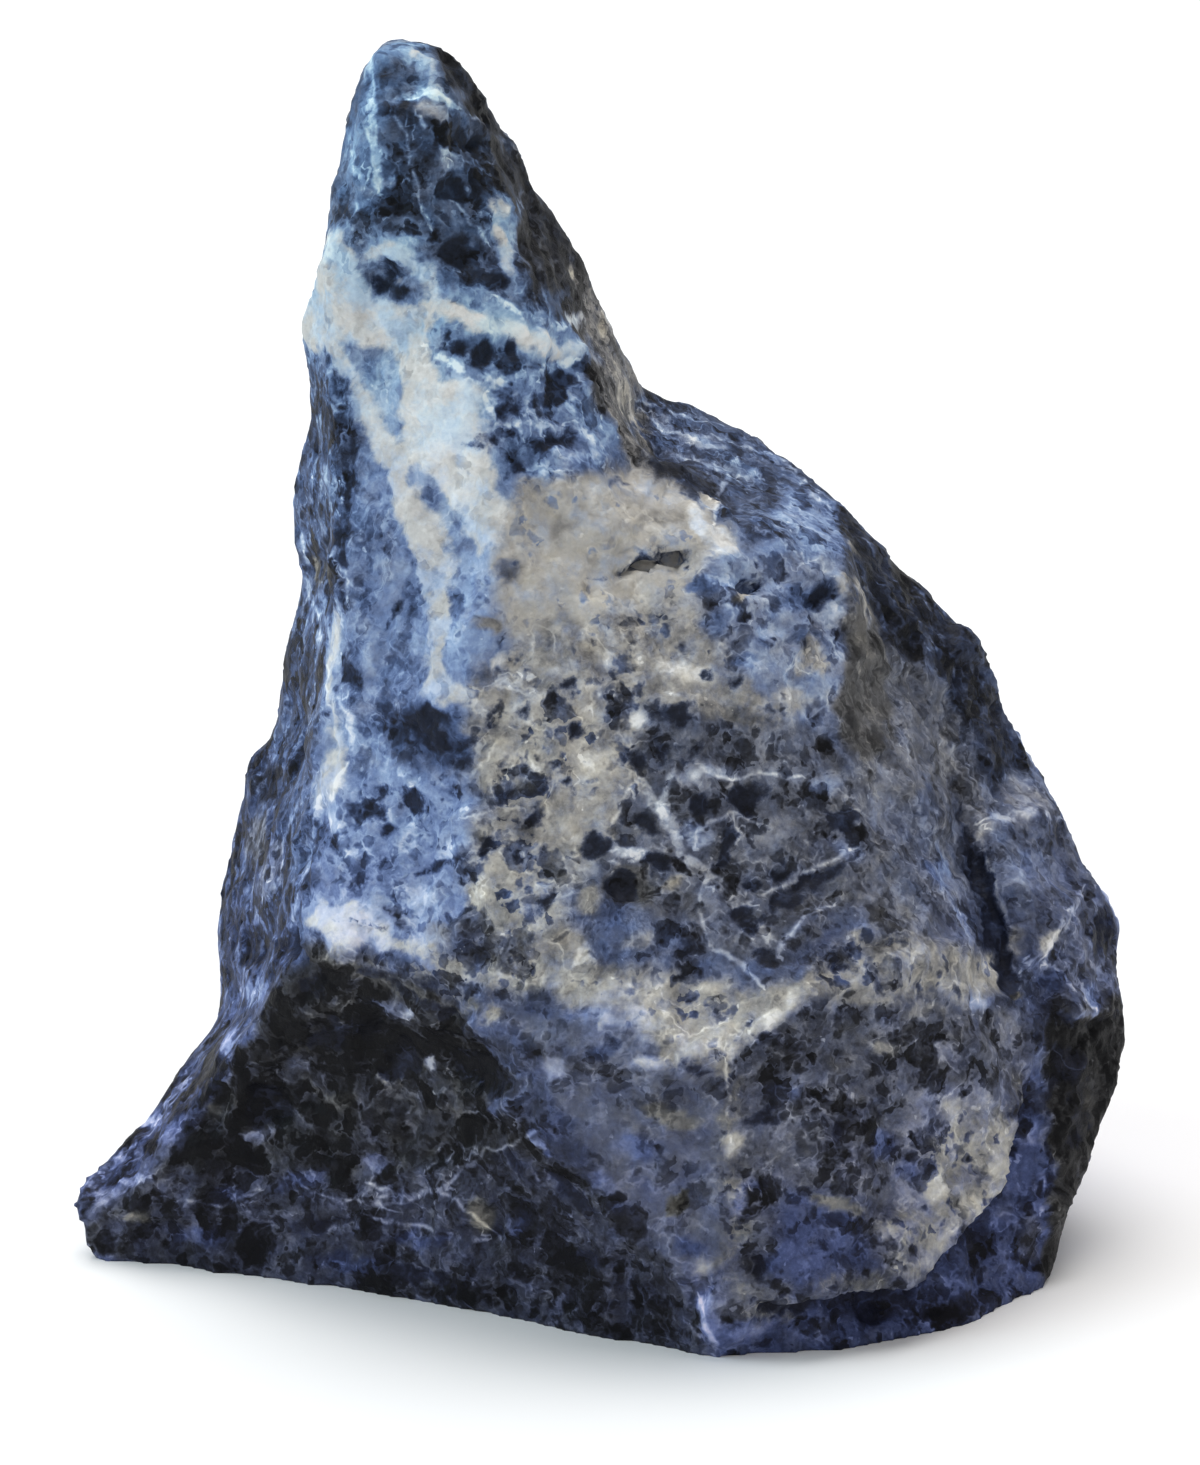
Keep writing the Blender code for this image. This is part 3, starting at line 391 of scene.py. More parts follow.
# Smaller patches laid over the washes: ovals, then tone and warmth in hundredths
PATCHES = {
    "tip": (
        (398, 46, 26, 7, 0, 50, 10), (396, 76, 18, 14, 0, 30, 20), (412, 97, 20, 6, 10, 66, 0),
        (430, 114, 15, 8, -10, 62, 70),
    ),
    "peak": (
        (433, 178, 13, 20, 0, 42, 30), (449, 160, 14, 8, -20, 50, 30), (420, 220, 14, 20, 0, 18, 10),
        (408, 246, 22, 7, 0, 52, 0), (538, 252, 22, 40, 30, 8, 80), (520, 290, 10, 8, 0, 45, 10),
        (504, 222, 12, 34, 10, 60, 10), (482, 308, 34, 9, -20, 66, 0), (556, 302, 14, 14, 0, 30, 20),
        (552, 322, 16, 7, -20, 50, 0),
    ),
    "whites": (
        (505, 329, 66, 12, -16, 74, 10), (345, 300, 46, 60, 0, 34, 40), (444, 440, 44, 100, 0, 66, 20),
        (366, 925, 50, 24, 8, 74, 20), (337, 700, 9, 90, 0, 56, 20), (397, 278, 5, 5, 0, 50, 90),
        (330, 248, 6, 16, -10, 76, 0), (346, 326, 12, 12, 0, 55, 120), (364, 372, 12, 18, 0, 45, 10),
    ),
    "spire_front": (
        (520, 362, 34, 12, -20, 30, 0), (552, 366, 20, 14, 0, 26, 0), (500, 404, 16, 18, 0, 44, 0),
        (500, 380, 12, 5, 0, 70, 0), (560, 462, 40, 8, 20, 62, 0), (510, 470, 16, 14, 0, 32, 0),
    ),
    "spire_strip": (
        (576, 318, 6, 10, 0, 72, 60), (571, 275, 5, 6, 0, 66, 160), (598, 385, 7, 30, 12, 14, 100),
        (603, 326, 5, 16, 15, 56, 180), (582, 340, 6, 16, 10, 22, 140), (626, 400, 5, 26, 20, 62, 140),
    ),
    "left_face": (
        (354, 404, 12, 14, 0, 18, 10), (310, 470, 8, 18, 0, 42, 0), (306, 545, 5, 16, 0, 62, 10),
        (317, 572, 5, 12, 0, 34, 140), (352, 590, 7, 10, 0, 66, 0), (414, 562, 5, 34, -8, 30, 0),
        (401, 560, 4, 15, 0, 62, 10), (412, 612, 6, 14, 0, 34, 0), (392, 662, 14, 26, -10, 44, 0),
        (372, 660, 8, 18, 0, 62, 10), (382, 720, 12, 22, 0, 32, 0),
    ),
    "inlet": ((431, 490, 10, 15, -20, 36, 10), (454, 530, 9, 16, -30, 54, 0)),
    "white_edge": (
        (468, 560, 10, 10, 0, 66, 0), (464, 602, 6, 12, 0, 40, 0), (459, 658, 16, 14, 0, 56, 0),
        (487, 625, 11, 8, 0, 44, 120), (500, 656, 8, 8, 0, 78, 80),
    ),
    "brow": (
        (560, 500, 36, 10, 0, 63, 150), (616, 512, 40, 7, 0, 72, 130), (668, 518, 34, 9, 8, 58, 150),
        (704, 500, 12, 9, -30, 72, 120), (640, 538, 34, 8, 0, 74, 110), (616, 482, 11, 5, 0, 42, 10),
        (642, 484, 10, 6, 0, 72, 10), (558, 532, 4, 20, 0, 56, 130), (563, 617, 9, 14, 0, 52, 40),
        (604, 604, 30, 8, 8, 70, 60), (520, 560, 16, 12, 0, 56, 90), (586, 590, 4, 4, 0, 50, 300),
    ),
    "mottled_right": (
        (704, 584, 26, 9, 0, 46, 0), (772, 630, 13, 7, 20, 76, 0), (712, 626, 14, 10, 0, 48, 10),
        (745, 662, 16, 9, 0, 48, 0), (763, 642, 10, 6, 0, 32, 10), (795, 636, 12, 9, 0, 36, 20),
        (800, 600, 22, 14, 0, 44, 0), (792, 702, 20, 12, 0, 68, 90), (740, 601, 6, 4, 0, 66, 150),
        (689, 672, 28, 14, -10, 78, 110), (824, 590, 9, 14, 0, 20, 10),
    ),
    "shelf": (
        (794, 520, 24, 13, -20, 62, 0), (804, 504, 9, 5, 0, 34, 10), (772, 548, 20, 8, 0, 56, 10),
        (700, 440, 28, 5, -18, 60, 30),
    ),
    "right_side": (
        (862, 636, 10, 24, 10, 36, 150), (868, 600, 4, 24, 22, 56, 130), (850, 700, 12, 26, 0, 28, 120),
        (905, 750, 8, 24, 20, 48, 70), (930, 800, 8, 26, 15, 36, 40), (884, 810, 9, 22, 15, 50, 50),
        (940, 870, 7, 24, 15, 50, 10), (964, 920, 5, 20, 15, 56, 10),
    ),
    "centre": (
        (664, 814, 8, 26, 30, 66, 50), (634, 853, 22, 5, 8, 70, 50), (702, 838, 14, 6, 20, 60, 40),
        (722, 772, 22, 5, -10, 58, 50), (689, 777, 13, 11, 0, 68, 50), (602, 770, 26, 18, 0, 66, 100),
        (777, 828, 26, 16, 20, 42, 70), (828, 784, 16, 10, 0, 50, 30), (628, 884, 24, 16, -15, 22, 120),
        (668, 882, 10, 7, 0, 50, 170), (557, 828, 24, 12, 0, 62, 120), (525, 834, 15, 11, -20, 34, 30),
        (537, 908, 11, 18, -10, 38, 20), (481, 896, 9, 9, 0, 62, 170), (462, 872, 12, 14, 0, 44, 10),
        (640, 720, 12, 8, 0, 74, 60), (712, 895, 16, 8, -40, 50, 60), (800, 930, 26, 7, 35, 40, 50),
        (690, 830, 14, 8, 20, 56, 30), (850, 850, 12, 20, 0, 44, 40),
    ),
    "cream_face": (
        (509, 570, 12, 10, -50, 36, 10), (520, 790, 16, 16, 0, 53, 130), (556, 670, 20, 9, 10, 56, 60),
        (620, 660, 26, 8, 5, 64, 70), (600, 690, 16, 8, 0, 54, 50), (470, 722, 12, 10, 0, 36, 60),
        (588, 900, 12, 16, 0, 56, 120), (508, 868, 12, 12, 0, 52, 140), (560, 940, 20, 8, 0, 54, 130),
        (640, 940, 20, 10, 0, 50, 70),
    ),
    "cream_foot": (
        (469, 922, 9, 12, 0, 30, 70), (483, 957, 12, 6, 0, 30, 90), (517, 962, 3, 9, -20, 80, 30),
        (440, 934, 14, 10, 0, 42, 80),
    ),
    "blue_face": (
        (357, 778, 13, 8, 0, 36, 0), (452, 790, 16, 9, 0, 30, 0), (324, 846, 9, 12, -20, 44, 0),
        (336, 824, 8, 10, 0, 80, 0), (350, 853, 9, 7, 0, 80, 0), (450, 850, 12, 6, 20, 80, 0),
        (420, 898, 18, 8, 10, 62, 10), (396, 918, 16, 6, -25, 36, 30), (340, 890, 12, 7, 0, 66, 0),
        (338, 790, 8, 12, 0, 74, 10), (400, 848, 18, 6, 0, 66, 0),
    ),
    "left_flank": (
        (268, 784, 15, 18, -20, 18, 30), (256, 838, 12, 22, -10, 36, 70), (232, 886, 5, 30, 0, 10, 30),
        (249, 948, 8, 20, -10, 17, 0), (312, 874, 8, 14, -10, 30, 0), (270, 870, 7, 30, -12, 48, 40),
        (256, 990, 8, 18, -30, 62, 0), (231, 1040, 8, 18, -25, 60, 0), (252, 1034, 8, 14, -30, 40, 0),
    ),
    "foot": (
        (217, 1112, 14, 11, 0, 42, 120), (170, 1128, 18, 9, 45, 44, 0), (100, 1200, 18, 8, 35, 50, 30),
        (134, 1216, 12, 8, 0, 32, 160), (150, 1120, 10, 7, 45, 60, 10),
    ),
    # Patches on the lower-left wall; the darkest are partly the stone's dark colour, partly painted shade on
    # that face.
    "wall": (
        (362, 972, 50, 11, -22, 26, 120), (436, 1004, 42, 12, -34, 25, 110),
        (330, 1010, 26, 10, 0, 20, 100), (340, 1036, 52, 20, 10, 6, 90), (480, 1072, 36, 20, -30, 5, 90),
        (268, 1106, 32, 24, -20, 4, 90), (382, 1008, 26, 9, -10, 27, 50), (337, 1100, 17, 9, 0, 30, 130),
        (446, 1112, 24, 8, 10, 26, 90), (430, 1064, 7, 6, -30, 66, 70), (388, 1071, 10, 3, -50, 50, 100),
        (405, 1018, 4, 5, 0, 60, 40), (256, 1134, 14, 8, 0, 36, 40), (374, 1162, 18, 7, 0, 36, 30),
        (480, 1215, 14, 16, 0, 36, 160), (300, 1180, 26, 9, 10, 27, 10), (226, 1196, 22, 9, 0, 30, 20),
        (500, 1104, 12, 8, -30, 28, 30), (300, 1060, 14, 9, 0, 20, 60), (420, 1240, 30, 8, -5, 22, 0),
        (520, 1220, 14, 12, 0, 30, 10), (200, 1236, 30, 8, -5, 28, 10), (556, 1262, 40, 9, -12, 8, 50),
        (640, 1290, 30, 8, -30, 10, 40), (350, 1262, 40, 8, -8, 20, 0),
    ),
    "lower_left": (
        (537, 1008, 18, 12, 0, 30, 30), (498, 1010, 8, 10, 0, 50, 10), (552, 1068, 14, 8, 0, 64, 40),
        (604, 1050, 14, 9, 0, 26, 0), (540, 1146, 16, 7, -40, 56, 10), (572, 1012, 20, 8, 0, 46, 20),
        (652, 1062, 17, 7, 0, 74, 10), (670, 1014, 11, 8, 0, 36, 20), (626, 1020, 10, 12, 0, 66, 10),
    ),
    "lower_right": (
        (670, 1117, 32, 9, -8, 44, 130), (640, 1150, 26, 12, 0, 38, 10), (674, 1205, 9, 8, 0, 22, 180),
        (693, 1247, 16, 10, 0, 28, 0), (605, 1178, 16, 9, -40, 50, 20), (735, 1140, 10, 11, 0, 66, 120),
        (731, 1204, 10, 16, 0, 60, 100), (705, 1270, 9, 9, 0, 62, 90), (701, 1298, 10, 18, -10, 62, 0),
        (714, 1326, 12, 14, 0, 46, 0), (884, 1142, 14, 16, 0, 30, 0), (754, 1186, 11, 9, 0, 20, 20),
        (838, 1206, 26, 7, -12, 44, 120), (884, 1048, 14, 8, -20, 60, 110), (930, 1052, 24, 12, 0, 42, 60),
        (785, 1092, 22, 10, 0, 36, 30), (953, 1110, 12, 13, 0, 62, 80), (930, 1186, 11, 18, 0, 70, 120),
        (962, 1205, 18, 12, 40, 60, 90), (878, 1232, 13, 10, 0, 68, 100), (976, 1150, 10, 14, 0, 56, 50),
        (904, 1170, 12, 9, 0, 42, 10), (778, 1306, 34, 8, 0, 50, 100), (752, 1330, 20, 7, 0, 48, 10),
        # The oval at (926, 1276) is a painted shadow under the lower-right ledge.
        (880, 1306, 38, 11, 8, 12, 10), (926, 1276, 26, 6, 35, 8, 20), (1018, 1156, 13, 28, 0, 32, 0),
        (1003, 1116, 7, 18, -20, 20, 0), (1036, 1138, 6, 16, -15, 52, 0), (1034, 1236, 8, 24, 0, 34, 40),
        (952, 1312, 26, 9, 15, 12, 20),
    ),
    "cream_band": (
        (712, 987, 20, 10, 0, 70, 100), (808, 988, 20, 9, 20, 56, 140), (869, 1003, 26, 6, 0, 50, 100),
        (925, 1010, 24, 6, 0, 44, 90), (984, 1002, 15, 8, 10, 70, 0), (940, 968, 26, 9, 0, 42, 70),
        (655, 985, 24, 7, 0, 72, 70), (876, 950, 20, 8, 0, 38, 80), (760, 970, 16, 8, 0, 30, 20),
        (704, 1048, 44, 8, 10, 78, 90), (766, 1024, 24, 7, 35, 76, 90), (790, 1002, 12, 7, 50, 72, 100),
        (640, 1004, 44, 17, -18, 68, 80), (694, 1032, 40, 13, 8, 74, 90), (990, 1160, 10, 44, -18, 62, 80),
        (928, 1246, 32, 8, 38, 60, 90), (1017, 992, 3, 3, 0, 36, 400), (1010, 1030, 12, 20, 0, 42, 70),
    ),
    "slab": (
        (1049, 946, 9, 18, -35, 64, 90), (1014, 942, 8, 20, 0, 46, 90), (1034, 870, 26, 22, 0, 44, 30),
        (1087, 994, 10, 13, 0, 44, 0), (1050, 982, 12, 10, 0, 20, 0), (1106, 930, 9, 26, 0, 20, 10),
        (1078, 1012, 22, 4, 0, 50, 40),
    ),
    "right_end": (
        (1064, 1064, 14, 20, 0, 7, 90), (1086, 1110, 12, 34, 10, 16, 160), (1049, 1120, 5, 26, 0, 36, 40),
        (1066, 1230, 8, 40, 8, 18, 130),
    ),
}

# Steps in the surface: height in mm, how far it fades, in mm, and points. Where the points run down the
# picture, the side to the right of them lies lower, or higher where the height is negative.
LEDGES = {
    "lower_right": (2.6, 6.0,
        (1026, 1070), (1010, 1130), (994, 1184), (952, 1245), (906, 1283), (800, 1300), (724, 1304)),
    "shelf": (-1.2, 3.0, (742, 530), (720, 498), (690, 474), (640, 452)),
    "groove": (-1.0, 2.6, (962, 800), (984, 862), (1003, 920), (1018, 1000)),
    "slab_right": (0.7, 2.4, (1090, 884), (1062, 930), (1040, 960), (1022, 974)),
    "block_foot": (0.8, 2.6, (1118, 1012), (1080, 1020), (1046, 1000)),
    "wall_foot": (-0.6, 3.0, (500, 1140), (430, 1166), (330, 1178), (240, 1150), (150, 1182)),
    "wall_chip": (0.5, 2.2, (545, 1100), (500, 1120), (440, 1112), (400, 1130), (350, 1120)),
    "wall_chip_2": (0.5, 2.4, (360, 960), (350, 1010), (380, 1030), (360, 1070), (300, 1090)),
    "wall_chip_3": (0.5, 2.0, (640, 1240), (590, 1222), (540, 1236), (470, 1226), (420, 1250)),
    "strip": (-0.6, 3.0, (338, 360), (354, 450), (348, 600), (342, 700), (338, 770)),
    "white_left": (-0.35, 2.0, (352, 380), (380, 450), (414, 545), (430, 640), (440, 690)),
    "tip_chip": (0.5, 2.2, (436, 46), (448, 84), (470, 118), (512, 144)),
    "centre": (-0.7, 2.6, (866, 846), (830, 866), (800, 892), (770, 900)),
    "eye": (-0.4, 1.6, (352, 800), (380, 786), (420, 788), (430, 815)),
    "rim": (-0.7, 3.0, (852, 540), (880, 600), (930, 668), (970, 730), (990, 800)),
    "brown": (0.5, 3.0, (860, 590), (868, 650), (850, 720), (862, 790)),
    "strip_right": (-0.5, 2.2, (592, 290), (604, 360), (630, 430), (660, 486)),
    "brow": (0.4, 2.4, (500, 500), (498, 560), (512, 610), (490, 670), (474, 720)),
    "low": (0.35, 2.4, (728, 1064), (734, 1140), (732, 1230), (712, 1290)),
    "peak_ring": (-0.35, 1.4, (446, 150), (450, 132), (476, 128), (492, 146)),
    "socket": (0.4, 1.6, (366, 262), (390, 254), (420, 276), (414, 300)),
    "under": (0.4, 2.2, (1050, 1190), (1020, 1250), (980, 1290), (900, 1322)),
    "far": (-0.4, 3.0, (1056, 1010), (1060, 1100), (1058, 1190), (1046, 1270)),
}

# Small holes: ovals, then depth in mm
PITS = {
    "pit_1": (672, 560, 13, 8, 10, 2.0), "pit_1_crack": (640, 566, 26, 4, 14, 1.4),
    "pit_2": (748, 586, 15, 5, 18, 1.8), "socket": (386, 280, 20, 15, -10, 0.7),
    "eye": (392, 812, 26, 22, 0, 0.5), "lens": (365, 927, 20, 6, -18, 0.5),
    "pore_1": (688, 647, 4, 4, 0, 0.6), "pore_2": (505, 771, 5, 4, 40, 0.6),
    "pore_3": (770, 684, 4, 4, 0, 0.5),
    "hollow_1": (628, 886, 28, 18, -15, 0.6), "hollow_2": (757, 1264, 14, 16, -20, 0.7),
    "hollow_3": (480, 1072, 34, 18, -30, 0.6), "hollow_4": (270, 1106, 30, 20, -20, 0.6),
    "hollow_5": (892, 946, 14, 8, 0, 0.4),
}


def rows(groups):
    """The entries of all the groups of a table, in order."""
    return [entry for group in groups.values() for entry in group]


def picture_places(points):
    """Where points in mm show in the front view, in picture points."""
    away = points - AIM
    up = away[:, 1] * math.sin(SIGHT_DOWN) + away[:, 2] * math.cos(SIGHT_DOWN)
    near = away[:, 2] * math.sin(SIGHT_DOWN) - away[:, 1] * math.cos(SIGHT_DOWN)
    scale = POINTS_PER_MM * DISTANCE / (DISTANCE - near)
    return np.stack([PICTURE_MIDDLE[0] + scale * away[:, 0], PICTURE_MIDDLE[1] - scale * up], 1)


def facing(normals):
    """How squarely each point faces the front view, from -1 to 1."""
    return normals[:, 2] * math.sin(SIGHT_DOWN) - normals[:, 1] * math.cos(SIGHT_DOWN)


def smooth(value, low, high):
    """0 below low, 1 above high and a soft step between; low may be the greater one."""
    share = np.clip((value - low) / (high - low), 0, 1)
    return share * share * (3 - 2 * share)


def segment_gap(places, start, end):
    """Distance to a segment, how far along it the nearest point is, and on which side of it a place lies."""
    a = np.array(start, float)
    along = np.array(end, float) - a
    share = np.clip(((places - a) @ along) / (along @ along), 0, 1)
    gap = places - a - share[:, None] * along
    side = along[0] * gap[:, 1] - along[1] * gap[:, 0]
    return np.linalg.norm(gap, axis=1), share, np.where(side < 0, -1.0, 1.0)


def route_gap(places, route):
    """Distance to a route, how far along it the nearest point is, from 0 to 1, and the side, -1 or 1."""
    gap, along, side = (np.full(len(places), value) for value in (np.inf, 0.0, 1.0))
    for n, (start, end) in enumerate(zip(route, route[1:])):
        away, share, hand = segment_gap(places, start, end)
        closer = away < gap
        gap = np.where(closer, away, gap)
        along = np.where(closer, (n + share) / (len(route) - 1), along)
        side = np.where(closer, hand, side)
    return gap, along, side


def area_depth(places, outline):
    """How deep places lie inside a closed outline: negative outside."""
    gap = np.full(len(places), np.inf)
    within = np.zeros(len(places), bool)
    for (x0, y0), (x1, y1) in zip(outline, outline[1:] + outline[:1]):
        gap = np.minimum(gap, segment_gap(places, (x0, y0), (x1, y1))[0])
        if y0 != y1:
            crosses = (places[:, 1] < y0) != (places[:, 1] < y1)
            within ^= crosses & (places[:, 0] < x0 + (places[:, 1] - y0) * (x1 - x0) / (y1 - y0))
    return np.where(within, gap, -gap)


def stroke_depth(places, first, last, *route):
    """How deep places lie inside a stroke whose half width runs from first to last."""
    depth = np.full(len(places), -np.inf)
    for n, (start, end) in enumerate(zip(route, route[1:])):
        gap, share, _ = segment_gap(places, start, end)
        half = first + (last - first) * (n + share) / (len(route) - 1)
        depth = np.maximum(depth, half - gap)
    return depth


def oval_reach(places, x, y, half_length, half_height, turn):
    """Distance from an oval's centre as a share of its size: 1 on its edge."""
    angle = math.radians(turn)
    across, down = places[:, 0] - x, places[:, 1] - y
    along = (across * math.cos(angle) - down * math.sin(angle)) / half_length
    beside = (across * math.sin(angle) + down * math.cos(angle)) / half_height
    return np.hypot(along, beside)


def cell_random(cell, seed):
    """Seven numbers from 0 to 1 for each grid cell, the same on each run."""
    key = (cell[:, 0] * 73856093) ^ (cell[:, 1] * 19349663) ^ (cell[:, 2] * 83492791) ^ (seed * 2654435761)
    found = []
    for n in range(7):
        mixed = (key + n * 40503) & 0xFFFFFFFF
        mixed = ((mixed ^ (mixed >> 16)) * 0x45D9F3B) & 0xFFFFFFFF
        mixed = ((mixed ^ (mixed >> 16)) * 0x45D9F3B) & 0xFFFFFFFF
        found.append(((mixed ^ (mixed >> 16)) & 0xFFFFFF) / 0xFFFFFF)
    return np.stack(found, 1)


def near_cells(points, spacing, seed):
    """For each cell round the points: the way from its spot to them, in cells, and its seven numbers."""
    cells = np.floor(points / spacing).astype(np.int64)
    for step in np.ndindex(3, 3, 3):
        cell = cells + np.array(step) - 1
        random = cell_random(cell, seed)
        yield points / spacing - (cell + random[:, :3]), random


def chip_noise(points, spacing, seed, crisp=26):
    """Small tilted chips with short slopes between them, about -1 to 1."""
    total, weights = np.zeros(len(points)), np.zeros(len(points))
    for away, random in near_cells(points, spacing, seed):
        weight = np.exp(-crisp * (away**2).sum(1))
        total += weight * (((random[:, 3:6] * 2 - 1) * away).sum(1) * 2 + random[:, 6] - 0.5)
        weights += weight
    return total / np.maximum(weights, 1e-12)


def step_noise(points, spacing, seed, layers=4):
    """Thin broken layers: low steps that run straight across each chip, about -0.5 to 0.5."""
    share = (chip_noise(points, spacing, seed) * layers) % 1.0
    return smooth(share, 0.35, 0.65) - share


def bowl_noise(points, spacing, seed):
    """Shallow shell-like breaks that meet in crisp ridges, about -0.6 to 0.6."""
    nearest = np.ones(len(points))
    for away, random in near_cells(points, spacing, seed):
        nearest = np.minimum(nearest, (away**2).sum(1) + 0.35 * random[:, 6])
    return nearest * 1.6 - 0.6


def wave_noise(points, spacing, seed):
    """Smooth lumps of one size, about -1 to 1."""
    offset = Vector((seed * 17.0, seed * 5.0, seed * 11.0))
    return np.array([noise.noise(Vector(point) / spacing + offset) for point in points]) * 1.6


def ledge_relief(places):
    """Height in mm from the steps and the pits."""
    relief = np.zeros(len(places))
    for height, reach, *route in LEDGES.values():
        gap, along, side = route_gap(places, route)
        gap /= POINTS_PER_MM
        ends = smooth(along, 0.0, 0.12) * smooth(along, 1.0, 0.88)
        relief += 0.5 * height * ends * np.clip(gap * side / LEDGE_WIDTH, -1, 1) * np.exp(-gap / reach)
    for *oval, depth in PITS.values():
        relief -= depth * smooth(oval_reach(places, *oval), 1.2, 0.4)
    return relief


def all_round(points):
    """Marks where no picture shows: tone, warmth, and the depths of white sheets and cream masses in mm."""
    tone = GENERAL[0] + 0.20 * wave_noise(points, 17.0, 51) + 0.12 * wave_noise(points, 8.0, 52)
    warm = GENERAL[1] + 0.55 * wave_noise(points, 19.0, 53)
    sheet = wave_noise(points, 27.0, 54) + 0.22 * wave_noise(points, 7.0, 55)
    white = 1.9 * wave_noise(points, 13.0, 56) + 0.2 - np.abs(sheet) * 13.0
    cream = (wave_noise(points, 24.0, 57) + 0.25 * wave_noise(points, 6.0, 58) - 0.42) * 12.0
    return tone, np.clip(warm, 0, 1.6), white, cream


def washed(places, front, round_tone, round_warm):
    """Tone, warmth, grain and streak from the washes and patches, and from all_round where the front ends."""
    tone = GENERAL[0] + (round_tone - GENERAL[0]) * (1 - front)
    warm = GENERAL[1] + (round_warm - GENERAL[1]) * (1 - front)
    grain, streak = (np.full(len(places), value) for value in GENERAL[2:])
    for edge, *values in WASHES.values():
        share = smooth(area_depth(places, values[4:]), -edge, edge) * front
        for field, value in zip((tone, warm, grain, streak), values):
            field += (value / 100 - field) * share
    for *oval, patch_tone, patch_warm in rows(PATCHES):
        share = smooth(oval_reach(places, *oval), 1.3, 0.6) * front
        tone += (patch_tone / 100 - tone) * share
        warm += (patch_warm / 100 - warm) * share
    return tone, warm, grain, streak


def mass_depth(places, masses, strokes):
    """How deep places lie inside masses and strokes, in picture points."""
    areas = (area_depth(places, outline) for outline in masses.values())
    lines = (stroke_depth(places, *stroke) for stroke in strokes.values())
    return reduce(np.maximum, (*areas, *lines), -NONE_NEAR)


def dark_depth(wide, places):
    """How deep places lie inside dark grains, as the wider bend puts them, and inside dark cracks; some are
    painted shade: in the pits, in the groove, under the lower-right ledge and, in part, on the lower-left
    wall.
    """
    grains = ((1 - oval_reach(wide, *oval)) * min(oval[2:4]) for oval in rows(DARK_GRAINS))
    return np.maximum(reduce(np.maximum, grains), mass_depth(places, {}, DARK_STROKES))


def nearest_vein(places):
    """How far outside the nearest vein places lie, how far aside of its middle, and its half width."""
    near, aside, half_width = (np.full(len(places), value) for value in (NONE_NEAR, NONE_NEAR, 1.0))
    for half, *route in rows(VEINS):
        gap, _, side = route_gap(places, route)
        closer = gap - half < near
        near = np.where(closer, gap - half, near)
        aside = np.where(closer, gap * side, aside)
        half_width = np.where(closer, half, half_width)
    return near, aside, half_width


def marks(points, normals):
    """The markings at each point: named values, with depths in mm."""
    still = picture_places(points)
    coarse, fine = (
        np.stack([wave_noise(points, spacing, seed) for seed in seeds], 1)
        for spacing, seeds in (COARSE_BEND, FINE_BEND)
    )
    bent = still + coarse * COARSE_REACH + fine * FINE_REACH
    front = smooth(facing(normals) + 0.22 * coarse[:, 0], -0.2, 0.15)
    seen = front > 0.5
    round_tone, round_warm, round_white, round_cream = all_round(points)
    tone, warm, grain, streak = washed(bent, front, round_tone, round_warm)
    near, aside, half_width = nearest_vein(still + fine * VEIN_REACH)
    dark = dark_depth(bent + fine * VEIN_REACH, still + fine * FINE_REACH)

    def deepest(masses, strokes, beyond):
        depth = np.where(seen, mass_depth(bent, masses, strokes), -NONE_NEAR)
        return np.maximum(depth / POINTS_PER_MM, beyond - 8 * front)

    return {
        "tone": tone,
        "warm": warm,
        "grain": grain,
        "streak": streak,
        "white": deepest(WHITE_MASSES, WHITE_STROKES, round_white),
        "cream": deepest(CREAM_MASSES, CREAM_STROKES, round_cream),
        "dark": np.where(seen, dark, -NONE_NEAR) / POINTS_PER_MM,
        "vein_aside": aside / POINTS_PER_MM,
        "vein_near": np.where(seen, near, NONE_NEAR) / POINTS_PER_MM,
        "vein_half": half_width / POINTS_PER_MM,
    }


def arrays(mesh):
    """The mesh's points, in mm, and normals."""
    points = np.zeros(len(mesh.vertices) * 3)
    normals = np.zeros(len(mesh.vertices) * 3)
    mesh.vertices.foreach_get("co", points)
    mesh.vertex_normals.foreach_get("vector", normals)
    return points.reshape(-1, 3) / MM, normals.reshape(-1, 3)


def applied(piece, kind, **settings):
    """Adds a modifier and replaces the mesh by its result."""
    modifier = piece.modifiers.new(kind.lower(), kind)
    for name, value in settings.items():
        setattr(modifier, name, value)
    evaluated = piece.evaluated_get(bpy.context.evaluated_depsgraph_get())
    mesh = bpy.data.meshes.new_from_object(evaluated)
    piece.modifiers.clear()
    old = piece.data
    piece.data = mesh
    bpy.data.meshes.remove(old)


def finer_piece(node):
    """The CAD solid as a piece with an even, fine mesh."""
    shape = bmesh.new()
    shape.from_mesh(node.data)
    bmesh.ops.remove_doubles(shape, verts=shape.verts, dist=0.01 * MM)
    mesh = bpy.data.meshes.new("stone")
    shape.to_mesh(mesh)
    shape.free()
    mesh.materials.clear()
    piece = bpy.data.objects.new("stone", mesh)
    bpy.context.scene.collection.objects.link(piece)
    applied(piece, "REMESH", mode="VOXEL", voxel_size=GRID * MM)
    applied(piece, "SMOOTH", factor=0.5, iterations=3)
    return piece


def relief(points, normals, found):
    """How far each point is pushed out, in mm: less at the front outline, the foot's tip and the base."""
    front = facing(normals)
    push = np.zeros(len(points))
    for kind, seed, sizes in (
        (wave_noise, SEED, WAVES),
        (chip_noise, SEED, CHIPS),
        (step_noise, SEED + 10, STEPS),
        (bowl_noise, SEED + 20, BOWLS),
    ):
        for n, (spacing, height) in enumerate(sizes):
            push += height * kind(points, spacing, seed + n)
    push *= 0.35 + 0.65 * smooth(np.abs(front), 0.1, 0.5)
    push *= 0.2 + 0.8 * smooth(points[:, 0], *FOOT_TIP)
    for n, (spacing, height) in enumerate(BACK_BOWLS):
        push += height * bowl_noise(points, spacing, SEED + 30 + n) * smooth(front, -0.3, -0.75)
    push -= DARK_SINK * smooth(found["dark"], -0.2, 0.4)
    push += WHITE_RISE * smooth(found["white"], -0.3, 0.3)
    push += ledge_relief(picture_places(points)) * smooth(front, 0.0, 0.25)
    return push * smooth(points[:, 2], 0.2, 2.5)


